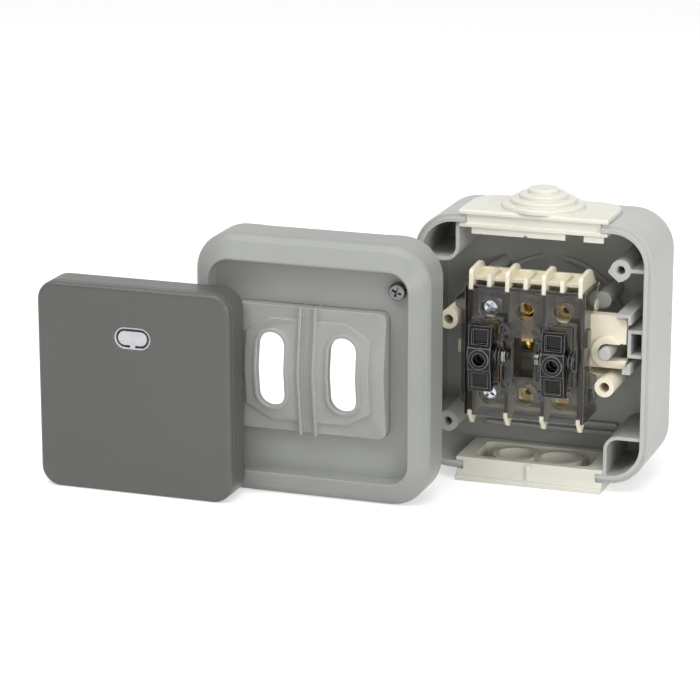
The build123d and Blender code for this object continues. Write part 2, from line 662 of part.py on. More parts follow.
def button_plate():
    plate = slab(PLATE_WIDTH, PLATE_HEIGHT, PLATE_RADIUS, 0, PLATE_DEPTH)
    front_edges = plate.faces().sort_by(Axis.Y)[0].edges()
    plate = fillet(front_edges, PLATE_EDGE_RADIUS)
    plate -= slab(PLATE_WIDTH - 2 * PLATE_WALL, PLATE_HEIGHT - 2 * PLATE_WALL,
                  PLATE_RADIUS - PLATE_WALL, PLATE_WALL, PLATE_DEPTH)
    line = slab(PLATE_WIDTH + 2, PLATE_HEIGHT + 2, PLATE_RADIUS, PLATE_LINE_SETBACK, PLATE_LINE)
    line -= slab(PLATE_WIDTH - 2 * PLATE_LINE, PLATE_HEIGHT - 2 * PLATE_LINE,
                 PLATE_RADIUS - PLATE_LINE, PLATE_LINE_SETBACK, PLATE_LINE)
    plate -= line
    plate -= oblong(WINDOW_WIDTH, WINDOW_HEIGHT, -1, PLATE_WALL + 2, 0, WINDOW_Z)
    inner = PLATE_WIDTH - PLATE_WALL
    above_window = WINDOW_Z + WINDOW_HEIGHT / 2 + 2 * RIB
    for z in (-above_window, -above_window / 2, 0, above_window):
        plate += slab(inner, RIB, 0, PLATE_WALL, 2 * RIB, 0, z)
    for side in (-1, 1):
        x = side * ROCKER_X
        peg_length = plate_to_rocker() + SOCKET_DEPTH - SEAT_GAP
        plate += rod(PEG_RADIUS + RIB, PLATE_WALL, plate_to_rocker() - 2 * SEAT_GAP, x)
        plate += rod(PEG_RADIUS, PLATE_WALL, peg_length, x)
        plate -= slab(PEG_SPLIT, 4 * PEG_RADIUS, 0, PLATE_WALL + plate_to_rocker(),
                      PLATE_DEPTH + SOCKET_DEPTH, x)
    return plate


def plate_to_rocker():
    """Room between the plate's inside and the rockers' fronts when it is pushed home."""
    rim_to_edge = FRAME_SIDE - LIP_HEIGHT + FRAME_PROUD
    rocker_past_edge = -ROCKER_FRONT - rim_to_edge
    skirt_in = FLOOR_DROP - 0.5 - sin(radians(TRAVEL_DEG)) * PLATE_HEIGHT / 2
    return PLATE_DEPTH - PLATE_WALL - skirt_in - rocker_past_edge


def window_lens():
    """Insert with a thin rim, a deep groove and a raised pad that is held by a small bridge."""
    width, height = WINDOW_WIDTH - 2 * WINDOW_GAP, WINDOW_HEIGHT - 2 * WINDOW_GAP
    lens = oblong(width, height, WINDOW_SETBACK, PLATE_WALL - WINDOW_SETBACK, 0, WINDOW_Z)
    groove = oblong(width - 2 * WINDOW_RIM, height - 2 * WINDOW_RIM, 0,
                    WINDOW_SETBACK + WINDOW_GROOVE, 0, WINDOW_Z)
    groove -= oblong(WINDOW_PAD_WIDTH, WINDOW_PAD_HEIGHT, 0, PLATE_WALL, 0, WINDOW_Z)
    groove -= slab(WINDOW_NUB, WINDOW_HEIGHT, 0, 0, PLATE_WALL, 0, WINDOW_Z - WINDOW_HEIGHT / 2)
    lens -= groove
    flange = oblong(WINDOW_WIDTH + 2 * RIB, WINDOW_HEIGHT + 2 * RIB, PLATE_WALL, RIB / 2,
                    0, WINDOW_Z)
    return lens + flange


def base_fin(x):
    """One tall fin of the terminal comb, pointed at its lower end."""
    top, tip = COMB_TOP, COMB_TIP
    front = SMOKED_FRONT + 2 * SEAT_GAP
    edge = -SMOKED_HEIGHT / 2
    corner = COMB_CORNER
    outline = [
        (front, edge), (front + COMB_TIP_SETBACK, tip), (front + COMB_TIP_DEPTH, edge),
        (BASE_BACK, edge), (BASE_BACK, top - 4 * corner), (COMB_WALL_Y + corner, top - corner / 2),
        (COMB_WALL_Y, top), (COMB_WALL_Y - corner, top), (front + corner, top - corner / 3),
        (front + corner / 3, top - corner / 2), (front, top - corner),
    ]
    fin = profile(outline, FIN, x)
    keep_low, keep_high = edge + SMOKED_PLATE, -edge - SMOKED_PLATE
    middle = profile([(front - 1, keep_low), (BASE_FRONT, keep_low), (BASE_FRONT, keep_high),
                      (front - 1, keep_high)], FIN + 1, x)
    return fin - middle


def mechanism_base():
    low = -SMOKED_HEIGHT / 2
    base = Pos(0, BASE_BACK - BASE_FLOOR / 2, 0) * Box(BASE_WIDTH, BASE_FLOOR, SMOKED_HEIGHT)
    for index in range(4):
        base += base_fin(-OUTER_FIN_X + index * TERMINAL_PITCH)
    bay = slab(BASE_WIDTH - 2 * FIN, 2 * (WINDOW_HALF_Z - RIB), 0, BASE_FRONT - 2,
               BASE_FLOOR_Y - BASE_FRONT + 2)
    base -= bay
    wall_depth = BASE_BACK - COMB_WALL_Y
    base += slab(BASE_WIDTH, COMB_WALL_TOP + low, 0, COMB_WALL_Y, COMB_WALL, 0,
                 (COMB_WALL_TOP - low) / 2)
    for side in (-1, 1):
        base += slab(BASE_WIDTH, FIN, 0, COMB_WALL_Y, wall_depth, 0, side * (-low - FIN / 2))
        for x in (-TERMINAL_PITCH, TERMINAL_PITCH):
            base += slab(TERMINAL_PITCH - FIN, BAY_WALL, 0, BASE_FRONT + RIB, BAY_WALL_DEPTH, x,
                         side * (WINDOW_HALF_Z + BAY_WALL / 2))
    shelf_front = SMOKED_FRONT + 2 * FIN + BAY_WALL
    base += slab(BASE_WIDTH - FIN, FIN, 0, shelf_front, COMB_WALL_Y - shelf_front, 0,
                 SHELF_RISE - low)
    for index in (-1, 0, 1):
        x = index * TERMINAL_PITCH
        fin_front = SMOKED_FRONT + 2 * SEAT_GAP
        base += slab(FIN, SHORT_FIN_HEIGHT, 0, fin_front, COMB_WALL_Y - fin_front, x,
                     SHORT_FIN_RISE - low)
        for side in (-1, 1):
            base += terminal_seat(x, side)
    base += contact_seats() + base_ears()
    return base - screw_relief()


def terminal_seat(x, side):
    """Block that carries a terminal's strip."""
    front = TAB_Y + STRIP
    low, high = RISER_Z + STRIP + RIB, TAB_END_Z + SEAT_GAP
    return slab(TERMINAL_PITCH - 3 * RIB, high - low, 0, front, BASE_FLOOR_Y - front + 0.4, x,
                side * (low + high) / 2)


def screw_relief():
    """Clearance holes for the ends of the terminal screws."""
    relief = Part()
    for side in (-1, 1):
        relief += rod(TERMINAL_SHANK_RADIUS + SCREW_GAP, TAB_Y, BASE_FLOOR_Y - TAB_Y,
                      -ROCKER_X, side * TERMINAL_ROW_Z)
    return relief


def contact_seats():
    """Pads behind the contact strips' long legs."""
    back_of_leg = LEG_Y + STRIP
    depth = BASE_FLOOR_Y - back_of_leg + 0.4
    pads = slab(STRIP_WIDTH, 2.0, 0, back_of_leg, depth, -ROCKER_X, 6.0)
    pads += slab(STRIP_WIDTH, 4.0, 0, back_of_leg, depth, -ROCKER_X, -4.5)
    return pads


def snap_boss(x, grow, thickness):
    """Oblong boss on the base's side; grown, it is the hole in the smoked cover's side wall."""
    outline = SlotOverall(SNAP_BOSS_LENGTH + 2 * grow, SNAP_BOSS_HEIGHT + 2 * grow)
    boss = extrude(Plane.YZ * outline, thickness)
    return Pos(x - thickness / 2, SNAP_BOSS_Y, SNAP_BOSS_Z) * boss


def base_ears():
    """Two screw ears, two snap bosses, a tab and the forked lug that slips round the stud."""
    ears = Part()
    for side in (-1, 1):
        x, z = side * EAR_X, -side * EAR_Z
        reach = EAR_X - BASE_WIDTH / 2
        web_depth = BASE_BACK - LUG_FRONT
        ears += slab(reach + FIN / 2, 2 * EAR_RADIUS - FIN, 0, LUG_FRONT, web_depth,
                     side * (EAR_X - reach / 2 - FIN / 4), z)
        ears += rod(EAR_RADIUS, EAR_FRONT, BASE_BACK - EAR_FRONT, x, z)
        ears += snap_boss(side * BASE_WIDTH / 2, 0, 2 * SNAP_BOSS_RISE)
    inner = BASE_WIDTH / 2 - FIN / 2
    ears += slab(TAB_X - inner, TAB_HEIGHT, 0, LUG_FRONT - TAB_SETBACK, FIN, -(TAB_X + inner) / 2,
                 TAB_Z)
    lug = slab(LUG_END_X - inner, LUG_HIGH - LUG_LOW, 0, LUG_FRONT, LUG_THICKNESS,
               (LUG_END_X + inner) / 2, (LUG_HIGH + LUG_LOW) / 2)
    ears += round_upright(lug, FIN)
    ears += rod(COLLAR_RADIUS, LUG_FRONT - COLLAR_RISE, COLLAR_RISE + FIN, STUD_X, STUD_Z)
    fork = STUD_RADIUS + STUD_GAP
    cut_depth = LUG_THICKNESS + 2 * COLLAR_RISE
    ears -= rod(fork, LUG_FRONT - COLLAR_RISE, cut_depth, STUD_X, STUD_Z)
    ears -= slab(LUG_END_X, 2 * fork, 0, LUG_FRONT - COLLAR_RISE, cut_depth,
                 STUD_X + LUG_END_X / 2, STUD_Z)
    for side in (-1, 1):
        x, z = side * EAR_X, -side * EAR_Z
        ears -= rod(EAR_HOLE_RADIUS, EAR_FRONT - 1, BASE_BACK - EAR_FRONT + 2, x, z)
    return ears


def bearing(x):
    """Upright bearing cheek for a rocker's pin, seen from the side."""
    root = BEARING_RADIUS + BEARING_WALL
    cheek = profile([(SMOKED_FRONT, -root), (PIVOT_Y, -BEARING_RADIUS), (PIVOT_Y, BEARING_RADIUS),
                     (SMOKED_FRONT, root)], BEARING_WALL, x)
    head = Pos(x, PIVOT_Y, 0) * Rot(0, 90, 0) * Cylinder(BEARING_RADIUS, BEARING_WALL)
    hole = Pos(x, PIVOT_Y, 0) * Rot(0, 90, 0) * Cylinder(PIVOT_RADIUS + PIVOT_GAP, FIN + 4)
    return cheek + head - hole


def bearing_x(side, outward):
    """Middle of a bearing cheek: side picks the rocker, outward its outer or inner cheek."""
    return side * ROCKER_X + outward * (ROCKER_WIDTH / 2 + BEARING_GAP + BEARING_WALL / 2)


def cover_cheek(x):
    """Side wall of the smoked cover, cut back where the ears and the lug pass it."""
    half, back = SMOKED_HEIGHT / 2, SMOKED_FRONT + SMOKED_SIDE_DEPTH
    low, high = -EAR_Z - EAR_RADIUS - RIB / 3, LUG_HIGH + RIB / 2
    shoulder = back - SMOKED_SHOULDER
    outline = [
        (SMOKED_FRONT, -half), (back, -half), (shoulder, low - RIB), (shoulder, low),
        (LUG_FRONT - RIB, low), (LUG_FRONT - RIB, high), (shoulder, high), (back, half),
        (SMOKED_FRONT, half),
    ]
    return profile(outline, SMOKED_SIDE, x) - snap_boss(x, 2 * SEAT_GAP, 4 * SMOKED_SIDE)


def cover_wings(x):
    """Flat wing round the left ear and the clip beside the right ear."""
    top, shoulder, notch, root = WING_HIGH
    low, foot = WING_LOW
    clip_top, clip_high, clip_low, clip_foot = CLIP_ZS
    outlines = (
        [(-x, top), (-WING_LEFT, shoulder), (-WING_LEFT, notch), (-WING_ROOT, root),
         (-WING_ROOT, low), (-x, foot)],
        [(x, clip_top), (CLIP_X, clip_high), (CLIP_X, clip_low), (x, clip_foot)],
    )
    wings = Part()
    for points in outlines:
        face = make_face(Polyline(*points, close=True))
        wings += Pos(0, WING_FRONT + WING, 0) * extrude(Plane.XZ * face, WING)
    return wings + slab(FIN, SIDE_TAB_HEIGHT, 0, SMOKED_FRONT, 3 * RIB, x + FIN / 2, SIDE_TAB_Z)


def cover_front_details():
    """Raised frames round the rocker windows, blocks under the springs and round knobs."""
    raised = Part()
    front = SMOKED_FRONT - WINDOW_FRAME_RISE
    for side in (-1, 1):
        raised += slab(window_width() + 2 * WINDOW_FRAME, 2 * (WINDOW_HALF_Z + WINDOW_FRAME), 0,
                       front, WINDOW_FRAME_RISE + RIB, side * ROCKER_X)
        inner, outer = SPRING_BLOCK_X, ROCKER_X - window_width() / 2
        raised += slab(outer - inner, SPRING_BLOCK_HEIGHT, SPRING_BLOCK_RADIUS,
                       SMOKED_FRONT - SPRING_BLOCK_RISE, SPRING_BLOCK_RISE + RIB,
                       side * (outer + inner) / 2, SPRING_BLOCK_Z)
    for x, z in KNOBS:
        knob = rod(KNOB_RADIUS, SMOKED_FRONT - KNOB_RISE, KNOB_RISE + RIB, x, z)
        raised += knob - rod(KNOB_RADIUS / 2, SMOKED_FRONT - KNOB_RISE, KNOB_RISE / 2, x, z)
    return raised


def window_width():
    return ROCKER_WIDTH + 2 * BEARING_GAP


def lamp_well():
    """Side walls and floor of the well in the cover's middle, open towards the lamp contact."""
    width, depth = LAMP_WELL_WIDTH, LAMP_WELL_DEPTH
    wall = LAMP_WELL_WALL
    well = slab(width + 2 * wall, wall, 0, SMOKED_FRONT, depth, 0,
                LAMP_WELL_Z - (LAMP_WELL_HEIGHT + wall) / 2)
    for side in (-1, 1):
        well += slab(wall, LAMP_WELL_HEIGHT, 0, SMOKED_FRONT, depth, side * (width + wall) / 2,
                     LAMP_WELL_Z)
    return well


def terminal_cover():
    width = BASE_WIDTH + 2 * (SEAT_GAP + SMOKED_SIDE)
    cover = slab(width, SMOKED_HEIGHT, 0, SMOKED_FRONT, SMOKED_PLATE) + cover_front_details()
    cover += slab(width, SMOKED_TOP, 0, SMOKED_FRONT, SMOKED_TOP_DEPTH, 0,
                  SMOKED_HEIGHT / 2 - SMOKED_TOP_DROP)
    cover += lamp_well()
    for side in (-1, 1):
        cover += cover_cheek(side * (width - SMOKED_SIDE) / 2)
    cover += cover_wings(width / 2 - SEAT_GAP)
    through = SMOKED_FRONT - WINDOW_FRAME_RISE - RIB
    depth = SMOKED_PLATE + WINDOW_FRAME_RISE + 2 * RIB
    for row in (-1, 1):
        for index in (-1, 0, 1):
            x, z = index * TERMINAL_PITCH, row * TERMINAL_ROW_Z
            cover += rod(GUIDE_RADIUS + GUIDE_WALL, SMOKED_FRONT, SMOKED_PLATE + GUIDE_DEPTH - 1,
                         x, z)
            cover -= rod(GUIDE_RADIUS, through, depth + 4 * GUIDE_DEPTH, x, z)
    for side in (-1, 1):
        cover -= slab(window_width(), 2 * WINDOW_HALF_Z, 0, through, depth, side * ROCKER_X)
        for outward in (-1, 1):
            cover += bearing(bearing_x(side, outward))
    cover -= slab(LAMP_WELL_WIDTH, LAMP_WELL_HEIGHT, 0, through, depth, 0, LAMP_WELL_Z)
    slot_depth = SMOKED_TOP_DEPTH + 2
    for index in range(4):
        x = -OUTER_FIN_X + index * TERMINAL_PITCH
        for end in (-1, 1):
            cover -= slab(FIN + 2 * SEAT_GAP, 2 * (SMOKED_PLATE + SEAT_GAP), 0, SMOKED_FRONT - 1,
                          slot_depth, x, end * SMOKED_HEIGHT / 2)
    short_slot = SMOKED_HEIGHT / 2 - SMOKED_TOP_DROP + SMOKED_TOP / 2
    for index in (-1, 0, 1):
        cover -= slab(FIN + 2 * SEAT_GAP, 2 * (SMOKED_HEIGHT / 2 - short_slot), 0, SMOKED_FRONT - 1,
                      slot_depth, index * TERMINAL_PITCH, SMOKED_HEIGHT / 2)
    return cover


def rocker(side):
    x = side * ROCKER_X
    half = ROCKER_HEIGHT / 2
    block = ROCKER_BLOCK_HALF
    end_front = ROCKER_FRONT + ROCKER_END_DROP
    end_back = end_front + ROCKER_END_DEPTH
    waist = PIVOT_Y + BEARING_RADIUS
    step = ROCKER_FRONT + ROCKER_STEP
    outline = [
        (ROCKER_FRONT, block), (ROCKER_FRONT, -block), (step, -block), (end_front, -half),
        (end_back, -half), (PIVOT_Y, -block - 1), (waist, ROCKER_WAIST - block),
        (waist, block - ROCKER_WAIST), (PIVOT_Y, block + 1), (end_back, half), (end_front, half),
        (step, block),
    ]
    body = profile(outline, ROCKER_WIDTH, x)
    pocket = ROCKER_WIDTH - 2 * ROCKER_WALL
    for end in (-1, 1):
        length = half - block - 2 * ROCKER_WALL
        z = end * (block + ROCKER_WALL + length / 2)
        body -= slab(pocket, length, 0, ROCKER_FRONT - 1, ROCKER_PANEL_DROP + ROCKER_END_DROP + 1,
                     x, z)
        under = ROCKER_FRONT + ROCKER_PANEL_DROP + ROCKER_END_DROP + ROCKER_WALL
        body -= slab(pocket, length, 0, under, 10, x, z)
    body += rod(BARREL_RADIUS, PIVOT_Y, BARREL_BACK - PIVOT_Y, x)
    body += rod(PEG_RADIUS + SOCKET_GAP + RIB, ROCKER_FRONT - SOCKET_RING_RISE, 2 * RIB, x)
    body -= rod(PEG_RADIUS + SOCKET_GAP, ROCKER_FRONT - 1, SOCKET_DEPTH + 1, x)
    body -= rod(PLUNGER_RADIUS + PIVOT_GAP, PIVOT_Y - 1, BARREL_BACK - PIVOT_Y + 2, x)
    pin = ROCKER_WIDTH + 2 * (BEARING_GAP + BEARING_WALL + PIN_END)
    pins = Pos(x, PIVOT_Y, 0) * Rot(0, 90, 0) * Cylinder(PIVOT_RADIUS, pin)
    inner_end = x - side * (pin / 2 + SPRING_ROOM / 2)
    pins += Pos(inner_end, PIVOT_Y, 0) * Rot(0, 90, 0) * Cylinder(PIVOT_RADIUS, SPRING_ROOM)
    pins -= rod(PLUNGER_RADIUS + PIVOT_GAP, PIVOT_Y - 2, 4, x)
    return body + pins


def rocker_plug():
    """The right rocker has no plunger, so its bore is closed."""
    return rod(PLUNGER_RADIUS + PIVOT_GAP, PIVOT_Y - 1, BARREL_BACK - PIVOT_Y + 1, ROCKER_X)


def return_spring(side):
    """Torsion spring round a rocker's inner pin end."""
    mean = PIVOT_RADIUS + BEARING_GAP + WIRE_RADIUS
    pitch = 2.3 * WIRE_RADIUS
    start = bearing_x(side, -side) - side * (BEARING_WALL / 2 + 2 * PIN_END)
    coil = Helix(pitch, SPRING_TURNS * pitch, mean)
    wire = sweep(Plane(coil @ 0, z_dir=coil % 0) * Circle(WIRE_RADIUS), path=coil)
    return Pos(start, PIVOT_Y, 0) * Rot(0, -90 * side, 0) * wire


def contact_strip_outline(reach):
    """Side outline of a strip: tab at the terminal, riser, and a leg that ends at z = reach."""
    turn = RISER_Z
    return [
        (TAB_Y, TAB_END_Z), (TAB_Y, turn), (LEG_Y, turn), (LEG_Y, reach),
        (LEG_Y + STRIP, reach), (LEG_Y + STRIP, turn + STRIP), (TAB_Y + STRIP, turn + STRIP),
        (TAB_Y + STRIP, TAB_END_Z),
    ]


def feed_strip():
    """Strip from the upper terminal, with its leg behind the upper end of the contact link."""
    strip = profile(contact_strip_outline(LINK_PIVOT_Z + LINK_UP - LEG_SHORTFALL), STRIP_WIDTH, -ROCKER_X)
    return strip - terminal_thread(1)


def switched_strip():
    """Strip from the lower terminal, with the knife edge that the contact link rocks on."""
    outline = [(y, -z) for y, z in contact_strip_outline(-LINK_PIVOT_Z - LEG_OVERRUN)]
    strip = profile(outline, STRIP_WIDTH, -ROCKER_X)
    edge = LINK_BACK + CONTACT_CLEARANCE
    knife = [(LEG_Y, LINK_PIVOT_Z - KNIFE_HALF), (edge, LINK_PIVOT_Z),
             (LEG_Y, LINK_PIVOT_Z + KNIFE_HALF)]
    return strip + profile(knife, STRIP_WIDTH - 1, -ROCKER_X) - terminal_thread(-1)


def terminal_thread(row):
    """Hole in a strip's tab for the terminal screw."""
    return rod(TERMINAL_SHANK_RADIUS + SCREW_GAP / 5, TAB_Y - 1, STRIP + 2, -ROCKER_X,
               row * TERMINAL_ROW_Z)


def lamp_contact():
    """Sprung contact blade in the middle column, bent forward towards the window."""
    turn = TERMINAL_ROW_Z - 1.4
    front = BASE_FRONT + LAMP_BLADE_DROP
    outline = [
        (TAB_Y, TAB_END_Z), (TAB_Y, turn), (front + 1.2, turn - 1.0),
        (front, turn - 8.2), (front + STRIP / 2, turn - 8.4),
        (front + 1.2 + STRIP / 2, turn - 1.6), (TAB_Y + STRIP, turn - 0.6),
        (TAB_Y + STRIP, TAB_END_Z),
    ]
    return profile(outline, LAMP_BLADE_WIDTH)


def terminal_clamps():
    """Square clamp plates under the terminal screw heads."""
    clamps = Part()
    front = TERMINAL_SCREW_FRONT + TERMINAL_HEAD_HEIGHT
    for row in (-1, 1):
        z = row * TERMINAL_ROW_Z
        plate = slab(CLAMP_SIZE, CLAMP_HEIGHT, 0.5, front, CLAMP_THICKNESS, -ROCKER_X, z)
        clamps += plate - rod(TERMINAL_SHANK_RADIUS + SCREW_GAP / 2, front - 1, 4, -ROCKER_X, z)
    return clamps


def terminal_screws():
    screws = Part()
    shank_front = TERMINAL_SCREW_FRONT + TERMINAL_HEAD_HEIGHT
    for row in (-1, 1):
        z = row * TERMINAL_ROW_Z
        head = rod(TERMINAL_HEAD_RADIUS, TERMINAL_SCREW_FRONT, TERMINAL_HEAD_HEIGHT, -ROCKER_X, z)
        head = fillet(head.edges().sort_by(Axis.Y)[0], 0.5)
        cross = Rot(0, 35, 0) * cross_recess(TERMINAL_HEAD_RADIUS * 0.7, 1.0)
        head -= Pos(-ROCKER_X, TERMINAL_SCREW_FRONT, z) * cross
        depth = TAB_Y + STRIP + TERMINAL_SCREW_PAST - shank_front
        screws += head + rod(TERMINAL_SHANK_RADIUS, shank_front, depth, -ROCKER_X, z)
    return screws


def turn_link(solid):
    """Turn a piece of the contact link to its open rest position about the knife edge."""
    centre = Pos(-ROCKER_X, LINK_BACK, LINK_PIVOT_Z)
    return centre * Rot(LINK_TURN_DEG / 2, 0, 0) * solid


def contact_link():
    """Rocking contact blade, drawn flat about its knife edge and then turned open."""
    length = LINK_UP + LINK_DOWN
    blade = slab(STRIP_WIDTH - 0.6, length, 0, -LINK_THICKNESS, LINK_THICKNESS, 0,
                 (LINK_UP - LINK_DOWN) / 2)
    return turn_link(blade)


def moving_contact():
    return turn_link(rod(TIP_RADIUS, 0, TIP_THICKNESS, 0, LINK_UP - TIP_RADIUS - TIP_INSET))


def fixed_contact():
    """Silver button on the feed strip, just clear of the moving one when the link is over."""
    reach = LINK_UP - TIP_RADIUS - TIP_INSET
    closed_y = LINK_BACK + TIP_THICKNESS + (reach + TIP_RADIUS) * sin(
        radians(LINK_TURN_DEG / 2)) + CONTACT_CLEARANCE
    return rod(TIP_RADIUS, closed_y, LEG_Y - closed_y, -ROCKER_X, LINK_PIVOT_Z + reach)


def plunger():
    """Spring-loaded plunger in the left rocker that tips the contact link."""
    body = rod(PLUNGER_RADIUS, PLUNGER_TIP - PLUNGER_LENGTH, PLUNGER_LENGTH - PLUNGER_RADIUS,
               -ROCKER_X)
    nose = Pos(-ROCKER_X, PLUNGER_TIP - PLUNGER_RADIUS, 0) * Sphere(PLUNGER_RADIUS)
    return body + nose


def plunger_spring():
    """Compression spring between the rocker's block and the plunger."""
    front = ROCKER_FRONT + SOCKET_DEPTH + PLUNGER_SPRING_SETBACK
    back = PLUNGER_TIP - PLUNGER_LENGTH
    length = back - front - 2 * (WIRE_RADIUS + PIVOT_GAP)
    coil = Helix(length / PLUNGER_SPRING_TURNS, length, PLUNGER_RADIUS - WIRE_RADIUS - PIVOT_GAP)
    wire = sweep(Plane(coil @ 0, z_dir=coil % 0) * Circle(WIRE_RADIUS), path=coil)
    return Pos(-ROCKER_X, back - WIRE_RADIUS - PIVOT_GAP, 0) * Rot(90, 0, 0) * wire


def main():
    os.makedirs("parts", exist_ok=True)
    box_z = BOX_HEIGHT / 2 + FOOT_HEIGHT
    cover_y = -COVER_TO_RIM - FRAME_SIDE
    plate_y = cover_y - FRAME_PROUD - PLATE_TO_FRAME - PLATE_DEPTH
    plate_x = -COVER_LEFT_OF_BOX - PLATE_LEFT_OF_COVER
    left, right = plate_x - PLATE_WIDTH / 2, BOX_WIDTH / 2
    shift_x = -(left + right) / 2
    shift_y = -(plate_y + BOX_DEPTH) / 2
    box_group = {
        "box_shell": box_shell(),
        "top_cable_entry": top_cable_entry(),
        "bottom_cable_entry": bottom_cable_entry(),
        "mechanism_base": mechanism_base(),
        "terminal_cover": terminal_cover(),
        "rocker_left": rocker(-1),
        "rocker_right": rocker(1) + rocker_plug(),
        "return_spring_left": return_spring(-1),
        "return_spring_right": return_spring(1),
        "terminal_screws": terminal_screws(),
        "terminal_clamps": terminal_clamps(),
        "feed_strip": feed_strip(),
        "switched_strip": switched_strip(),
        "lamp_contact": lamp_contact(),
        "contact_link": contact_link(),
        "moving_contact": moving_contact(),
        "fixed_contact": fixed_contact(),
        "plunger": plunger(),
        "plunger_spring": plunger_spring(),
    }
    cover_group = {
        "cover_frame": cover_frame(),
        "sealing_membrane": sealing_membrane(),
        "cover_screws": cover_screws(),
    }
    plate_group = {
        "button_plate": button_plate(),
        "window_lens": window_lens(),
    }
    groups = (
        (box_group, 0, 0, box_z),
        (cover_group, -COVER_LEFT_OF_BOX, cover_y, BOX_HEIGHT / 2),
        (plate_group, plate_x, plate_y, PLATE_HEIGHT / 2),
    )
    for group, x, y, z in groups:
        for name, solid in group.items():
            placed = Pos(x + shift_x, y + shift_y, z) * solid
            placed.label = name
            export_step(placed, os.path.join("parts", name + ".step"))


main()
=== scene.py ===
import json
import math

import bmesh
import bpy
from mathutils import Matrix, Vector


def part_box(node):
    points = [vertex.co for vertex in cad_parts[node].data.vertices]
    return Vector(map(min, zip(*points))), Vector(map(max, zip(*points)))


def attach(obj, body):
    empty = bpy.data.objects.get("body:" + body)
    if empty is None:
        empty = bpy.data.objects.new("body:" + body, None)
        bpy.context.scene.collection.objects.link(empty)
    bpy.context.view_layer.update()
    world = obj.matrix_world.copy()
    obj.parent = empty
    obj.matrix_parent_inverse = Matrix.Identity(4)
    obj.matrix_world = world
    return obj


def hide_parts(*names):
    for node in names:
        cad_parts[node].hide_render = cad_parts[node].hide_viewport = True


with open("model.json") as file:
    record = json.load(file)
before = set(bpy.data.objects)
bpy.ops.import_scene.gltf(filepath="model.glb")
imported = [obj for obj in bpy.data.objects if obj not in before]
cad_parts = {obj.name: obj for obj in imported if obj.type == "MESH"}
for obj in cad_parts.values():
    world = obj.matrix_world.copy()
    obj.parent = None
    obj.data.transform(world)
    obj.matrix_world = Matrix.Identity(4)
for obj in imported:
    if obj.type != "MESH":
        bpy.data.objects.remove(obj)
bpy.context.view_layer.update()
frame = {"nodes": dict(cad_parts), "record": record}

MILLIMETRE = 0.001
WHITE = (1.0, 1.0, 1.0)

# Camera, fitted to the photograph's corners
PHOTO_WIDTH = 700
CAMERA_AZIMUTH = 19.2
CAMERA_ELEVATION = 15.47
CAMERA_DISTANCE = 0.9
CAMERA_FOCAL_PIXELS = 2997.0
CAMERA_TARGET = (-0.00538, 0.0089, 0.03686)
SENSOR_WIDTH = 36.0
CLIP_NEAR = 0.05
CLIP_FAR = 20.0

# Lights
SOFTBOXES = (
    # name, place, size, power
    ("light_above", (0.10, -0.38, 0.95), 0.8, 4.7),
    ("light_front_high", (-0.40, -0.62, 1.05), 0.6, 3.9),
    ("light_front", (0.35, -1.15, 0.30), 0.9, 1.1),
    ("light_right", (0.88, -0.62, 0.32), 0.6, 4.3),
)

# World: its strength at the horizon and overhead, and what shiny places mirror in front and at the back
WORLD_LOW = 0.36
WORLD_HIGH = 0.46
MIRRORED_FRONT = 0.26
MIRRORED_BACK = 1.0
MIRRORED_FROM = -0.7
MIRRORED_TO = 0.3

# Floor, and the light that lifts it to the white of the background
FLOOR_HALF = 4.0
FLOOR_GREY = (0.82, 0.82, 0.82)
FLOOR_ROUGHNESS = 0.9
FLOOR_LIFT = 0.48

# Colours, in linear light
BOX_GREY = (0.455, 0.46, 0.44)
IVORY = (0.71, 0.70, 0.62)
CREAM = (0.80, 0.745, 0.59)
FRAME_GREY = (0.300, 0.309, 0.290)
PLATE_GREY = (0.099, 0.101, 0.092)
MEMBRANE_GREY = (0.30, 0.305, 0.284)
PLUNGER_WHITE = (0.78, 0.77, 0.72)
SMOKE = (0.60, 0.59, 0.57)
SMOKE_DEPTH = (0.20, 0.195, 0.185)
ROCKER_SMOKE = (0.04, 0.039, 0.037)
# Pale colour painted along the smoked edges as a highlight
PAINTED_EDGE_GLINT = (0.62, 0.63, 0.63)
BRASS = (0.80, 0.56, 0.22)
DULL_BRASS = (0.56, 0.42, 0.22)
ZINC = (0.56, 0.60, 0.64)
SILVER = (0.90, 0.89, 0.86)
STEEL = (0.46, 0.46, 0.46)
DARK_CHROME = (0.22, 0.22, 0.23)
LENS_WHITE = (0.56, 0.57, 0.585)
LENS_DARK = (0.10, 0.103, 0.10)

# The finishes come next. Clouds and patterns are a noise's scale, detail and roughness, but the grain's and
# the scratches' scale is in their tables. A relief is its depth and its strength. Depths, edge radii and
# reaches are in millimetres, and tints are shares of a finish's own colour.

# Opaque mouldings
MOULDINGS = {
    # slot: name, colour, roughness, grain size, grain depth, edge radius, painted edge highlight, glow
    "box_plastic": ("box_moulding", BOX_GREY, 0.42, 0.30, 0.020, 0.35, 1.28, 0.0),
    "entry_plastic": ("ivory_moulding", IVORY, 0.45, 0.35, 0.015, 0.35, 1.28, 0.15),
    "base_plastic": ("cream_moulding", CREAM, 0.42, 0.30, 0.015, 0.22, 1.28, 0.12),
    "frame_plastic": ("frame_moulding", FRAME_GREY, 0.40, 0.30, 0.020, 0.35, 1.28, 0.0),
    "plate_plastic": ("plate_moulding", PLATE_GREY, 0.36, 0.28, 0.015, 0.60, 1.60, 0.0),
    "plunger_plastic": ("plunger_moulding", PLUNGER_WHITE, 0.40, 0.30, 0.010, 0.10, 1.28, 0.0),
}
FLOW_CLOUDS = (38.0, 3.0, 0.5)
FLOW_TINTS = (0.965, 1.035)
GRAIN_PATTERN = (2.0, 0.6)
GRAIN_STRENGTH = 0.6
SMOOTHER = -0.05
ROUGHER = 0.07
PLASTIC_INDEX = 1.48
GLOW_COLOURS = (1.0, 0.8, 0.55)
GLOW_REACH = 1.2

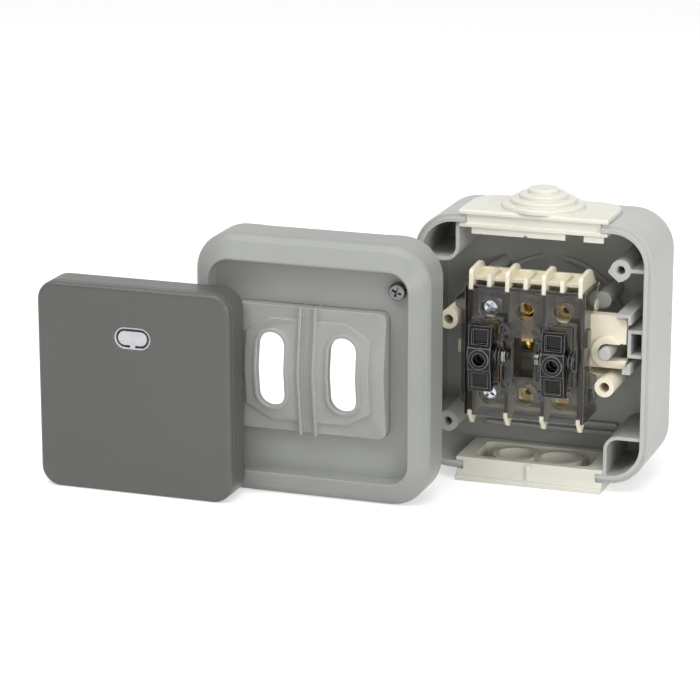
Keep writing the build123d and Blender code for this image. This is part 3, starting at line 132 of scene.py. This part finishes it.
# Plated and rolled metals
METALS = {
    # slot: name, colour, roughness, scratch scale, scratch depth, tarnish
    "spring_steel": ("spring_wire", STEEL, 0.22, 3000.0, 0.01, 0.10),
    "zinc_steel": ("zinc_plating", ZINC, 0.13, 900.0, 0.12, 0.30),
    "brass_strip": ("brass_strip", BRASS, 0.26, 1800.0, 0.01, 0.20),
    "silver_contact": ("silver_contact", SILVER, 0.18, 2600.0, 0.01, 0.08),
    "screw_steel": ("dark_plating", DARK_CHROME, 0.22, 2400.0, 0.01, 0.25),
}
CLAMP_METAL = ("dull_brass", DULL_BRASS, 0.34, 1500.0, 0.01, 0.25)
TARNISH_CLOUDS = (320.0, 3.0, 0.6)
POLISHED_TINT = 1.04
SCRATCH_STRETCH = (1.0, 0.12, 0.25)
SCRATCH_PATTERN = (2.0, 0.5)
SCRATCH_ROUGHNESS = (0.7, 1.4)
SCRATCH_STRENGTH = 0.4
METAL_EDGE = 0.1

# Soft rubber
BLOOM_CLOUDS = (90.0, 4.0, 0.65)
BLOOM_TINTS = (0.95, 1.06)
SKIN_PATTERN = (4200.0, 2.0, 0.5)
SKIN_RELIEF = (0.02, 0.5)
RUBBER_ROUGHNESS = (0.5, 0.66)
RUBBER_EDGE = 0.45
# Share by which the membrane's edges are lightened: a painted highlight
RUBBER_PAINTED_EDGE_HIGHLIGHT = 1.75
RUBBER_SHEEN = 0.08

# Smoked see-through mouldings
SMOKE_FLOW = (420.0, 2.0, 0.5)
SMOKE_ROUGHNESS = (0.01, 0.035)
SMOKE_WAVES = (260.0, 1.0, 0.5)
SMOKE_RELIEF = (0.05, 0.3)
SMOKE_EDGE = 0.28
SMOKE_DENSITY = 520.0
COVER_INDEX = 1.49
ROCKER_INDEX = 1.36
# Share of the painted edge highlight on the smoked edges
PAINTED_GLINT_SHARE = 0.6
SHADOW_SHARE = 0.9

# Frosted lens, and the depth behind its front at which its groove turns dark
LENS_CLOUDS = (500.0, 2.0, 0.5)
LENS_TINTS = (0.93, 1.05)
FROST_PATTERN = (6000.0, 2.0, 0.5)
FROST_RELIEF = (0.01, 0.4)
LENS_ROUGHNESS = (0.28, 0.42)
LENS_INDEX = 1.46
LENS_EDGE = 0.12
LENS_GLOW = 0.4
LENS_GLOW_REACH = 0.8
GROOVE_DEPTH = 0.45
GROOVE_FADE = 0.3

# Range of a noise pattern's usual values
NOISE_LOW = 0.3
NOISE_HIGH = 0.7

# Rounded edges, where the painted edge highlights go: cosine of the turn at which an edge starts and is
# full
EDGE_SAMPLES = 6
EDGE_START = 0.995
EDGE_FULL = 0.80

# Sockets of a mix: first value, second value and result
MIX_SOCKETS = {"FLOAT": (2, 3, 0), "RGBA": (6, 7, 2)}

# Merging and rounding of meshes
WELD_DISTANCE = 0.002 * MILLIMETRE
BEVEL_SEGMENTS = 2
FLAT_ANGLE = math.radians(1)
CREASE_ANGLE = math.radians(24)
SHARP_ANGLE = math.radians(35)
MEMBRANE_EDGE = 0.08 * MILLIMETRE

# Places in the box, in millimetres from its middle and its rim
BOX_DEPTH = 28.5
TERMINAL_PITCH = 11.0
TERMINAL_ROW = 12.9

# Turned pieces, as closed outlines of radius and depth
SLEEVE_OUTLINE = (
    (1.45, -2.7), (1.65, -3.0), (1.85, -3.0), (2.0, -2.8), (2.0, 1.6), (1.45, 1.6),
)
DISC_OUTLINE = (
    (0.9, -0.55), (1.05, -0.75), (2.35, -0.75), (2.65, -0.45), (2.65, 0.3), (2.5, 0.45), (1.9, 0.6),
    (1.9, 2.4), (0.9, 2.4),
)
TURNED_STEPS = 48
SLEEVE_HEIGHT = 13.4
DISC_PLACES = ((1, 1), (1, -1), (0, -1))

# Floor of the lamp well, and the low bars on it
WELL_WIDTH = 6.6
WELL_HEIGHT = 11.6
WELL_MIDDLE = -1.2
WELL_FRONT = 2.4
WELL_THICKNESS = 0.9
WELL_BAR_HEIGHT = 0.5
WELL_BAR_RISE = 0.7
WELL_BAR_DEPTH = 0.8
WELL_BAR_PLACES = (-3.2, -1.4, 0.4)
BLOCK_EDGE = 0.12 * MILLIMETRE
ROUND_PROFILE = 0.5

# End of the lamp contact's blade, as depth and height along its front
BLADE_WIDTH = 2.9
BLADE_THICKNESS = 0.35
BLADE_LINE = ((-3.2, 3.6), (-3.1, 2.6), (-2.5, 1.4), (-1.5, 0.4), (-0.3, -0.3), (0.9, -0.6))

# Threads: in the brass sleeve, on the cover screws, and cut in the two posts
SLEEVE_THREAD = {"Radius": 1.47, "Length": 3.6, "Pitch": 0.7, "Ridge": 0.16, "Sides": 3}
COVER_THREAD = {"Radius": 1.25, "Length": 16.5, "Pitch": 0.8, "Ridge": 0.2, "Sides": 3}
POST_THREAD = {"Radius": 1.37, "Length": 6.0, "Pitch": 0.8, "Ridge": 0.22, "Sides": 3}
TURN_POINTS = 28
LAID_ALONG_Y = (-math.pi / 2, 0, 0)
SLEEVE_THREAD_START = -2.8
COVER_HEAD_RADIUS = 2.6
COVER_THREAD_SETBACK = 4.0
POST_FRONT = 2.6
POST_THREAD_SETBACK = 0.5


def feed(tree, value, socket):
    """Give an input a plain value, a colour or another node's output."""
    if isinstance(value, bpy.types.NodeSocket):
        tree.links.new(value, socket)
    elif socket.type == "RGBA":
        socket.default_value = (*value, 1)
    else:
        socket.default_value = value


def wire(tree, node, values):
    """Feed each of a node's named inputs."""
    for name, value in values.items():
        feed(tree, value, node.inputs[name])


def add(tree, kind, **settings):
    """New node; each setting is a property, or feeds the input of that name."""
    made = tree.nodes.new(kind)
    for name, value in settings.items():
        socket = name.replace("_", " ").title()
        if socket in made.inputs:
            feed(tree, value, made.inputs[socket])
        else:
            setattr(made, name, value)
    return made


def new_material(name):
    """Material with its tree and its main shader."""
    material = bpy.data.materials.new(name)
    material.use_nodes = True
    tree = material.node_tree
    return material, tree, tree.nodes["Principled BSDF"]


def object_place(tree):
    """Place of a point on the object."""
    return add(tree, "ShaderNodeTexCoord").outputs["Object"]


def calculated(tree, operation, first, second):
    """Result of an operation on two values."""
    made = add(tree, "ShaderNodeMath", operation=operation)
    feed(tree, first, made.inputs[0])
    feed(tree, second, made.inputs[1])
    return made.outputs[0]


def ramp(tree, value, start, end, low=0.0, high=1.0, kind="LINEAR"):
    """Run from low to high while the value goes from start to end."""
    made = add(tree, "ShaderNodeMapRange", interpolation_type=kind, value=value, from_min=start,
               from_max=end, to_min=low, to_max=high)
    return made.outputs["Result"]


def mixed(tree, share, first, second, kind="RGBA"):
    """The first value where the share is nought, the second where it is one."""
    made = add(tree, "ShaderNodeMix", data_type=kind, factor=share)
    first_input, second_input, result = MIX_SOCKETS[kind]
    feed(tree, first, made.inputs[first_input])
    feed(tree, second, made.inputs[second_input])
    return made.outputs[result]


def layered(tree, share, first, second):
    """The first shader where the share is nought, the second where it is one."""
    made = add(tree, "ShaderNodeMixShader")
    for value, socket in zip((share, first, second), made.inputs):
        feed(tree, value, socket)
    return made.outputs["Shader"]


def seen_by(tree, *kinds):
    """One for the kinds of ray that are named, nought for the others."""
    rays = add(tree, "ShaderNodeLightPath").outputs
    share, *others = [rays["Is %s Ray" % kind] for kind in kinds]
    for other in others:
        share = calculated(tree, "MAXIMUM", share, other)
    return share


def shade(colour, share):
    """Lighter or darker tint of a colour."""
    return tuple(min(1.0, channel * share) for channel in colour)


def noise(tree, place, scale, detail, roughness):
    """Value of a noise pattern at a place."""
    made = add(tree, "ShaderNodeTexNoise", vector=place, scale=scale, detail=detail,
               roughness=roughness)
    return made.outputs["Fac"]


def spread(tree, value, low, high):
    """Map a noise value to a range."""
    return ramp(tree, value, NOISE_LOW, NOISE_HIGH, low, high)


def clouded(tree, place, pattern, colour, tints):
    """Colour that runs between two of its own tints in soft clouds."""
    dark, light = tints
    share = spread(tree, noise(tree, place, *pattern), 0.0, 1.0)
    return mixed(tree, share, shade(colour, dark), shade(colour, light))


def rounded_edges(tree, radius):
    """Normal that rounds a piece's edges; the radius is in millimetres."""
    made = add(tree, "ShaderNodeBevel", samples=EDGE_SAMPLES, radius=radius * MILLIMETRE)
    return made.outputs["Normal"]


def edge_share(tree, rounded):
    """Nought on flat places, one along the rounded edges, where the painted edge highlights go."""
    agreement = add(tree, "ShaderNodeVectorMath", operation="DOT_PRODUCT")
    feed(tree, add(tree, "ShaderNodeNewGeometry").outputs["Normal"], agreement.inputs[0])
    feed(tree, rounded, agreement.inputs[1])
    return ramp(tree, agreement.outputs["Value"], EDGE_START, EDGE_FULL)


def relief(tree, height, depth, strength, normal):
    """Bump from a height value over a normal; the depth is in millimetres."""
    made = add(tree, "ShaderNodeBump", strength=strength, distance=depth * MILLIMETRE,
               height=height, normal=normal)
    return made.outputs["Normal"]


def glow_within(tree, shader, weight, colours, reach):
    """Light that goes in under the surface; its reach is in millimetres."""
    wire(tree, shader, {
        "Subsurface Weight": weight,
        "Subsurface Radius": colours,
        "Subsurface Scale": reach * MILLIMETRE,
    })


def moulded_plastic(name, colour, roughness, grain_size, grain_depth, edge, painted_edge_highlight, glow):
    """Opaque moulded plastic: slight flow clouds, fine eroded grain, rounded edges with a painted
    highlight.
    """
    material, tree, shader = new_material(name)
    place = object_place(tree)
    rounded = rounded_edges(tree, edge)
    clouds = clouded(tree, place, FLOW_CLOUDS, colour, FLOW_TINTS)
    grain = noise(tree, place, 1.0 / (grain_size * MILLIMETRE), *GRAIN_PATTERN)
    wire(tree, shader, {
        # Colour lightened along the edges: a painted highlight
        "Base Color": mixed(tree, edge_share(tree, rounded), clouds, shade(colour, painted_edge_highlight)),
        "Roughness": spread(tree, grain, roughness + SMOOTHER, roughness + ROUGHER),
        "Normal": relief(tree, grain, grain_depth, GRAIN_STRENGTH, rounded),
        "IOR": PLASTIC_INDEX,
    })
    if glow:
        glow_within(tree, shader, glow, GLOW_COLOURS, GLOW_REACH)
    return material


def soft_rubber(name, colour):
    """Matt soft moulding with a faint bloom, fine dust and a painted highlight along its edges."""
    material, tree, shader = new_material(name)
    place = object_place(tree)
    rounded = rounded_edges(tree, RUBBER_EDGE)
    bloom = clouded(tree, place, BLOOM_CLOUDS, colour, BLOOM_TINTS)
    skin = noise(tree, place, *SKIN_PATTERN)
    wire(tree, shader, {
        # Colour lightened along the edges: a painted highlight
        "Base Color": mixed(tree, edge_share(tree, rounded), bloom, shade(colour, RUBBER_PAINTED_EDGE_HIGHLIGHT)),
        "Roughness": spread(tree, skin, *RUBBER_ROUGHNESS),
        "Normal": relief(tree, skin, *SKIN_RELIEF, rounded),
        "Sheen Weight": RUBBER_SHEEN,
    })
    return material


def smoked_plastic(name, tint, index):
    """Smoked see-through moulding: darker where light crosses more of it, with a pale painted highlight
    along its edges.
    """
    material, tree, shader = new_material(name)
    place = object_place(tree)
    rounded = rounded_edges(tree, SMOKE_EDGE)
    wire(tree, shader, {
        "Base Color": tint,
        "Transmission Weight": 1.0,
        "IOR": index,
        "Roughness": spread(tree, noise(tree, place, *SMOKE_FLOW), *SMOKE_ROUGHNESS),
        "Normal": relief(tree, noise(tree, place, *SMOKE_WAVES), *SMOKE_RELIEF, rounded),
    })
    # Pale matt shader mixed in along the edges: a painted highlight
    pale = add(tree, "ShaderNodeBsdfDiffuse", color=PAINTED_EDGE_GLINT).outputs["BSDF"]
    painted_glint_share = calculated(tree, "MULTIPLY", edge_share(tree, rounded), PAINTED_GLINT_SHARE)
    lit = layered(tree, painted_glint_share, shader.outputs["BSDF"], pale)
    clear = add(tree, "ShaderNodeBsdfTransparent", color=shade(tint, SHADOW_SHARE)).outputs["BSDF"]
    depth = add(tree, "ShaderNodeVolumeAbsorption", color=SMOKE_DEPTH, density=SMOKE_DENSITY)
    wire(tree, tree.nodes["Material Output"], {
        "Surface": layered(tree, seen_by(tree, "Shadow"), lit, clear),
        "Volume": depth.outputs["Volume"],
    })
    return material


def worked_metal(name, colour, roughness, scratch_scale, scratch_depth, tarnish):
    """Plated or rolled metal with fine scratches and slight tarnish."""
    material, tree, shader = new_material(name)
    place = object_place(tree)
    rounded = rounded_edges(tree, METAL_EDGE)
    stretched = add(tree, "ShaderNodeMapping", scale=SCRATCH_STRETCH, vector=place).outputs["Vector"]
    scratches = noise(tree, stretched, scratch_scale, *SCRATCH_PATTERN)
    worn, dulled = SCRATCH_ROUGHNESS
    wire(tree, shader, {
        "Base Color": clouded(tree, place, TARNISH_CLOUDS, colour, (1.0 - tarnish, POLISHED_TINT)),
        "Metallic": 1.0,
        "Roughness": spread(tree, scratches, roughness * worn, roughness * dulled),
        "Normal": relief(tree, scratches, scratch_depth, SCRATCH_STRENGTH, rounded),
    })
    return material


def frosted_lens(name, colour, dark):
    """Insert with a frosted raised pad and rim, and a groove between them coloured dark from a set depth
    behind the front.
    """
    material, tree, shader = new_material(name)
    place = object_place(tree)
    rounded = rounded_edges(tree, LENS_EDGE)
    frosted = clouded(tree, place, LENS_CLOUDS, colour, LENS_TINTS)
    frost = noise(tree, place, *FROST_PATTERN)
    depth = add(tree, "ShaderNodeSeparateXYZ", vector=place).outputs["Y"]
    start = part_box("window_lens")[0].y + GROOVE_DEPTH * MILLIMETRE
    groove = ramp(tree, depth, start, start + GROOVE_FADE * MILLIMETRE)
    wire(tree, shader, {
        "Base Color": mixed(tree, groove, frosted, dark),
        "Roughness": spread(tree, frost, *LENS_ROUGHNESS),
        "Normal": relief(tree, frost, *FROST_RELIEF, rounded),
        "IOR": LENS_INDEX,
    })
    glow_within(tree, shader, LENS_GLOW, WHITE, LENS_GLOW_REACH)
    return material


def finishes():
    """One finish for each material slot of the record."""
    made = {slot: moulded_plastic(*moulding) for slot, moulding in MOULDINGS.items()}
    made["membrane_rubber"] = soft_rubber("membrane_rubber", MEMBRANE_GREY)
    made["smoked_plastic"] = smoked_plastic("smoked_moulding", SMOKE, COVER_INDEX)
    made.update({slot: worked_metal(*metal) for slot, metal in METALS.items()})
    made["lens_plastic"] = frosted_lens("frosted_lens", LENS_WHITE, LENS_DARK)
    return made


def dress_nodes(made):
    """Give each node the finish of its slot, and the rockers a darker one."""
    slots = {entry["node"]: entry["material_slot"] for entry in frame["record"]["subparts"]}
    dark_smoke = smoked_plastic("rocker_moulding", ROCKER_SMOKE, ROCKER_INDEX)
    for node, piece in frame["nodes"].items():
        finish = dark_smoke if node.startswith("rocker") else made[slots[node]]
        piece.data.materials.clear()
        piece.data.materials.append(finish)


def link(piece):
    """Put a new object in the scene."""
    bpy.context.scene.collection.objects.link(piece)
    return piece


def settle(piece):
    """Turn what the piece's modifiers make into its plain mesh."""
    graph = bpy.context.evaluated_depsgraph_get()
    finished = bpy.data.meshes.new_from_object(piece.evaluated_get(graph))
    piece.modifiers.clear()
    piece.data = finished


def merged_copy(node, finish):
    """Copy of a node's mesh with its loose triangles merged, in a finish of its own."""
    mesh = frame["nodes"][node].data.copy()
    form = bmesh.new()
    form.from_mesh(mesh)
    bmesh.ops.remove_doubles(form, verts=form.verts, dist=WELD_DISTANCE)
    form.to_mesh(mesh)
    form.free()
    mesh.materials.clear()
    mesh.materials.append(finish)
    return mesh


def soft_membrane(finish):
    """Rubber membrane with each edge rounded, as it comes out of its mould."""
    mesh = merged_copy("sealing_membrane", finish)
    form = bmesh.new()
    form.from_mesh(mesh)
    bmesh.ops.dissolve_limit(form, angle_limit=FLAT_ANGLE, verts=form.verts, edges=form.edges)
    form.to_mesh(mesh)
    form.free()
    mesh.shade_smooth()
    piece = link(bpy.data.objects.new("soft_membrane", mesh))
    edges = piece.modifiers.new("edges", "BEVEL")
    edges.width = MEMBRANE_EDGE
    edges.segments = BEVEL_SEGMENTS
    edges.limit_method = "ANGLE"
    edges.angle_limit = CREASE_ANGLE
    edges.harden_normals = True
    settle(piece)
    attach(piece, "switch")
    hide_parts("sealing_membrane")


def thread_tree(name, finish):
    """Ridge that winds round an axis along Y from each point of the mesh it is given."""
    tree = bpy.data.node_groups.new(name, "GeometryNodeTree")
    tree.interface.new_socket("Geometry", in_out="INPUT", socket_type="NodeSocketGeometry")
    tree.interface.new_socket("Geometry", in_out="OUTPUT", socket_type="NodeSocketGeometry")
    for size in ("Radius", "Length", "Pitch", "Ridge"):
        tree.interface.new_socket(size, in_out="INPUT", socket_type="NodeSocketFloat")
    tree.interface.new_socket("Sides", in_out="INPUT", socket_type="NodeSocketInt")
    given = add(tree, "NodeGroupInput").outputs
    turns = calculated(tree, "DIVIDE", given["Length"], given["Pitch"])
    helix = add(tree, "GeometryNodeCurveSpiral", resolution=TURN_POINTS, rotations=turns,
                start_radius=given["Radius"], end_radius=given["Radius"], height=given["Length"])
    upright = add(tree, "GeometryNodeSetCurveNormal", mode="Z_UP", curve=helix.outputs["Curve"])
    section = add(tree, "GeometryNodeCurvePrimitiveCircle", resolution=given["Sides"],
                  radius=given["Ridge"])
    ridge = add(tree, "GeometryNodeCurveToMesh", fill_caps=True, curve=upright.outputs["Curve"],
                profile_curve=section.outputs["Curve"])
    placed = add(tree, "GeometryNodeInstanceOnPoints", points=given["Geometry"],
                 instance=ridge.outputs["Mesh"], rotation=LAID_ALONG_Y)
    real = add(tree, "GeometryNodeRealizeInstances", geometry=placed.outputs["Instances"])
    finished = add(tree, "GeometryNodeSetMaterial", material=finish,
                   geometry=real.outputs["Geometry"])
    add(tree, "NodeGroupOutput", geometry=finished.outputs["Geometry"])
    return tree


def threads(name, starts, sizes, finish):
    """Threads that start at the given places and run back along Y; sizes are in millimetres."""
    mesh = bpy.data.meshes.new(name)
    mesh.from_pydata(starts, [], [])
    piece = link(bpy.data.objects.new(name, mesh))
    winding = piece.modifiers.new("winding", "NODES")
    tree = thread_tree(name + "_tree", finish)
    winding.node_group = tree
    for item in tree.interface.items_tree:
        if item.in_out == "INPUT" and item.name in sizes:
            value = sizes[item.name]
            winding[item.identifier] = value if item.name == "Sides" else value * MILLIMETRE
    settle(piece)
    piece.data.shade_smooth()
    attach(piece, "switch")


def middle_of(node):
    """Middle of a node's box."""
    low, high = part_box(node)
    return (low + high) / 2


def rim_plane():
    """Depth along Y of the box's rim."""
    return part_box("box_shell")[1].y - BOX_DEPTH * MILLIMETRE


def in_box(x, y, z):
    """Place in metres of a point given in millimetres from the box's middle and rim."""
    middle = middle_of("box_shell")
    return Vector((middle.x + x * MILLIMETRE, rim_plane() + y * MILLIMETRE,
                   middle.z + z * MILLIMETRE))


def make_threads(made):
    """Threads of the cover screws, and the ones that they cut in the box's two posts."""
    low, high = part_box("cover_screws")
    across = (high.x - low.x) / 2 - COVER_HEAD_RADIUS * MILLIMETRE
    up = (high.z - low.z) / 2 - COVER_HEAD_RADIUS * MILLIMETRE
    screws_front = low.y + COVER_THREAD_SETBACK * MILLIMETRE
    posts_front = rim_plane() + (POST_FRONT + POST_THREAD_SETBACK) * MILLIMETRE
    for name, middle, front, sizes, slot in (
        ("cover_screw_threads", middle_of("cover_screws"), screws_front, COVER_THREAD, "screw_steel"),
        ("post_threads", middle_of("box_shell"), posts_front, POST_THREAD, "box_plastic"),
    ):
        starts = [(middle.x + side * across, front, middle.z + side * up) for side in (-1, 1)]
        threads(name, starts, sizes, made[slot])


def made_piece(name, form, finish):
    """Piece from a bmesh, with its finish, fixed to the switch."""
    bmesh.ops.recalc_face_normals(form, faces=form.faces)
    mesh = bpy.data.meshes.new(name)
    form.to_mesh(mesh)
    form.free()
    mesh.shade_smooth()
    mesh.materials.append(finish)
    piece = link(bpy.data.objects.new(name, mesh))
    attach(piece, "switch")
    return piece


def turned(name, outline, place, finish):
    """Piece turned about an axis along Y from a closed outline of radius and depth."""
    form = bmesh.new()
    points = [form.verts.new((radius * MILLIMETRE, depth * MILLIMETRE, 0))
              for radius, depth in outline]
    loop = [form.edges.new((points[index - 1], points[index])) for index in range(len(points))]
    bmesh.ops.spin(form, geom=points + loop, cent=(0, 0, 0), axis=(0, 1, 0), dvec=(0, 0, 0),
                   angle=2 * math.pi, steps=TURNED_STEPS)
    bmesh.ops.remove_doubles(form, verts=form.verts, dist=WELD_DISTANCE)
    bmesh.ops.translate(form, verts=form.verts, vec=place)
    piece = made_piece(name, form, finish)
    piece.data.set_sharp_from_angle(angle=SHARP_ANGLE)


def make_terminals(brass):
    """Brass sleeve and clamp discs that show through the guide holes."""
    turned("terminal_sleeve", SLEEVE_OUTLINE, in_box(0, 0, SLEEVE_HEIGHT), brass)
    threads("sleeve_thread", [in_box(0, SLEEVE_THREAD_START, SLEEVE_HEIGHT)], SLEEVE_THREAD, brass)
    clamp_metal = worked_metal(*CLAMP_METAL)
    for number, (column, row) in enumerate(DISC_PLACES, 1):
        place = in_box(column * TERMINAL_PITCH, 0, row * TERMINAL_ROW)
        turned("clamp_disc_%d" % number, DISC_OUTLINE, place, clamp_metal)


def block(form, width, height, front, depth, z):
    """Block with softened edges in the box's middle column, in the box's own places."""
    middle = in_box(0, front + depth / 2, z)
    made = bmesh.ops.create_cube(form, size=1.0)["verts"]
    for point in made:
        point.co = Vector((
            middle.x + point.co.x * width * MILLIMETRE,
            middle.y + point.co.y * depth * MILLIMETRE,
            middle.z + point.co.z * height * MILLIMETRE,
        ))
    edges = {edge for point in made for edge in point.link_edges}
    bmesh.ops.bevel(form, geom=list(edges), offset=BLOCK_EDGE, segments=BEVEL_SEGMENTS,
                    profile=ROUND_PROFILE, affect="EDGES")


def lamp_well_floor(finish):
    """Smoked floor of the lamp well with three low bars."""
    form = bmesh.new()
    block(form, WELL_WIDTH, WELL_HEIGHT, WELL_FRONT, WELL_THICKNESS, WELL_MIDDLE)
    for z in WELL_BAR_PLACES:
        block(form, WELL_WIDTH, WELL_BAR_HEIGHT, WELL_FRONT - WELL_BAR_RISE, WELL_BAR_DEPTH, z)
    made_piece("lamp_well_floor", form, finish)


def lamp_blade_end(finish):
    """Curved end of the lamp contact's blade, down in the lamp well."""
    form = bmesh.new()
    half = BLADE_WIDTH / 2
    section = ((-half, 0), (half, 0), (half, BLADE_THICKNESS), (-half, BLADE_THICKNESS))
    rings = [[form.verts.new(in_box(x, depth + back, height)) for x, back in section]
             for depth, height in BLADE_LINE]
    for first, second in zip(rings, rings[1:]):
        for index in range(len(section)):
            form.faces.new((first[index - 1], first[index], second[index], second[index - 1]))
    form.faces.new(rings[0])
    form.faces.new(rings[-1])
    made_piece("lamp_blade_end", form, finish)


def point_at(thing, target):
    """Turn a camera or a lamp to look at a target."""
    direction = Vector(target) - thing.location
    thing.rotation_euler = direction.to_track_quat("-Z", "Y").to_euler()


def put_camera():
    """Camera at the photograph's viewing angle."""
    azimuth = math.radians(CAMERA_AZIMUTH)
    elevation = math.radians(CAMERA_ELEVATION)
    back = Vector((
        math.sin(azimuth) * math.cos(elevation),
        -math.cos(azimuth) * math.cos(elevation),
        math.sin(elevation),
    ))
    data = bpy.data.cameras.new("camera")
    data.sensor_width = SENSOR_WIDTH
    data.lens = CAMERA_FOCAL_PIXELS / PHOTO_WIDTH * SENSOR_WIDTH
    data.clip_start = CLIP_NEAR
    data.clip_end = CLIP_FAR
    camera = link(bpy.data.objects.new("camera", data))
    camera.location = Vector(CAMERA_TARGET) + back * CAMERA_DISTANCE
    point_at(camera, CAMERA_TARGET)
    bpy.context.scene.camera = camera


def put_lights():
    """Round softboxes that all point at the object."""
    for name, place, size, power in SOFTBOXES:
        data = bpy.data.lights.new(name, "AREA")
        data.shape = "DISK"
        data.size = size
        data.energy = power
        lamp = link(bpy.data.objects.new(name, data))
        lamp.location = place
        point_at(lamp, CAMERA_TARGET)


def put_world():
    """Soft even sky, a shaded backdrop for mirrors, and plain white for the camera."""
    world = bpy.data.worlds.new("studio")
    world.use_nodes = True
    tree = world.node_tree
    direction = add(tree, "ShaderNodeTexCoord").outputs["Generated"]
    parts = add(tree, "ShaderNodeSeparateXYZ", vector=direction).outputs
    sky = ramp(tree, parts["Z"], 0.0, 1.0, WORLD_LOW, WORLD_HIGH, "SMOOTHSTEP")
    backdrop = ramp(tree, parts["Y"], MIRRORED_FROM, MIRRORED_TO, MIRRORED_FRONT, MIRRORED_BACK,
                    "SMOOTHSTEP")
    mirrored = mixed(tree, seen_by(tree, "Glossy"), sky, backdrop, "FLOAT")
    direct = seen_by(tree, "Camera", "Transmission")
    wire(tree, tree.nodes["Background"], {
        "Color": WHITE,
        "Strength": mixed(tree, direct, mirrored, 1.0, "FLOAT"),
    })
    bpy.context.scene.world = world


def put_floor():
    """Pale floor that keeps the shadow and meets the white background."""
    corners = [(FLOOR_HALF * x, FLOOR_HALF * y, 0) for x, y in ((-1, -1), (1, -1), (1, 1), (-1, 1))]
    mesh = bpy.data.meshes.new("floor")
    mesh.from_pydata(corners, [], [(0, 1, 2, 3)])
    floor = link(bpy.data.objects.new("floor", mesh))
    material, tree, shader = new_material("pale_floor")
    direct = seen_by(tree, "Camera", "Transmission", "Glossy")
    wire(tree, shader, {
        "Base Color": FLOOR_GREY,
        "Roughness": FLOOR_ROUGHNESS,
        "Specular IOR Level": 0.0,
        "Emission Color": WHITE,
        "Emission Strength": calculated(tree, "MULTIPLY", direct, FLOOR_LIFT),
    })
    mesh.materials.append(material)


bpy.context.scene.view_settings.view_transform = "Standard"
put_camera()
put_lights()
put_world()
put_floor()
made = finishes()
dress_nodes(made)
soft_membrane(made["membrane_rubber"])
make_threads(made)
make_terminals(made["brass_strip"])
lamp_well_floor(made["smoked_plastic"])
lamp_blade_end(made["brass_strip"])
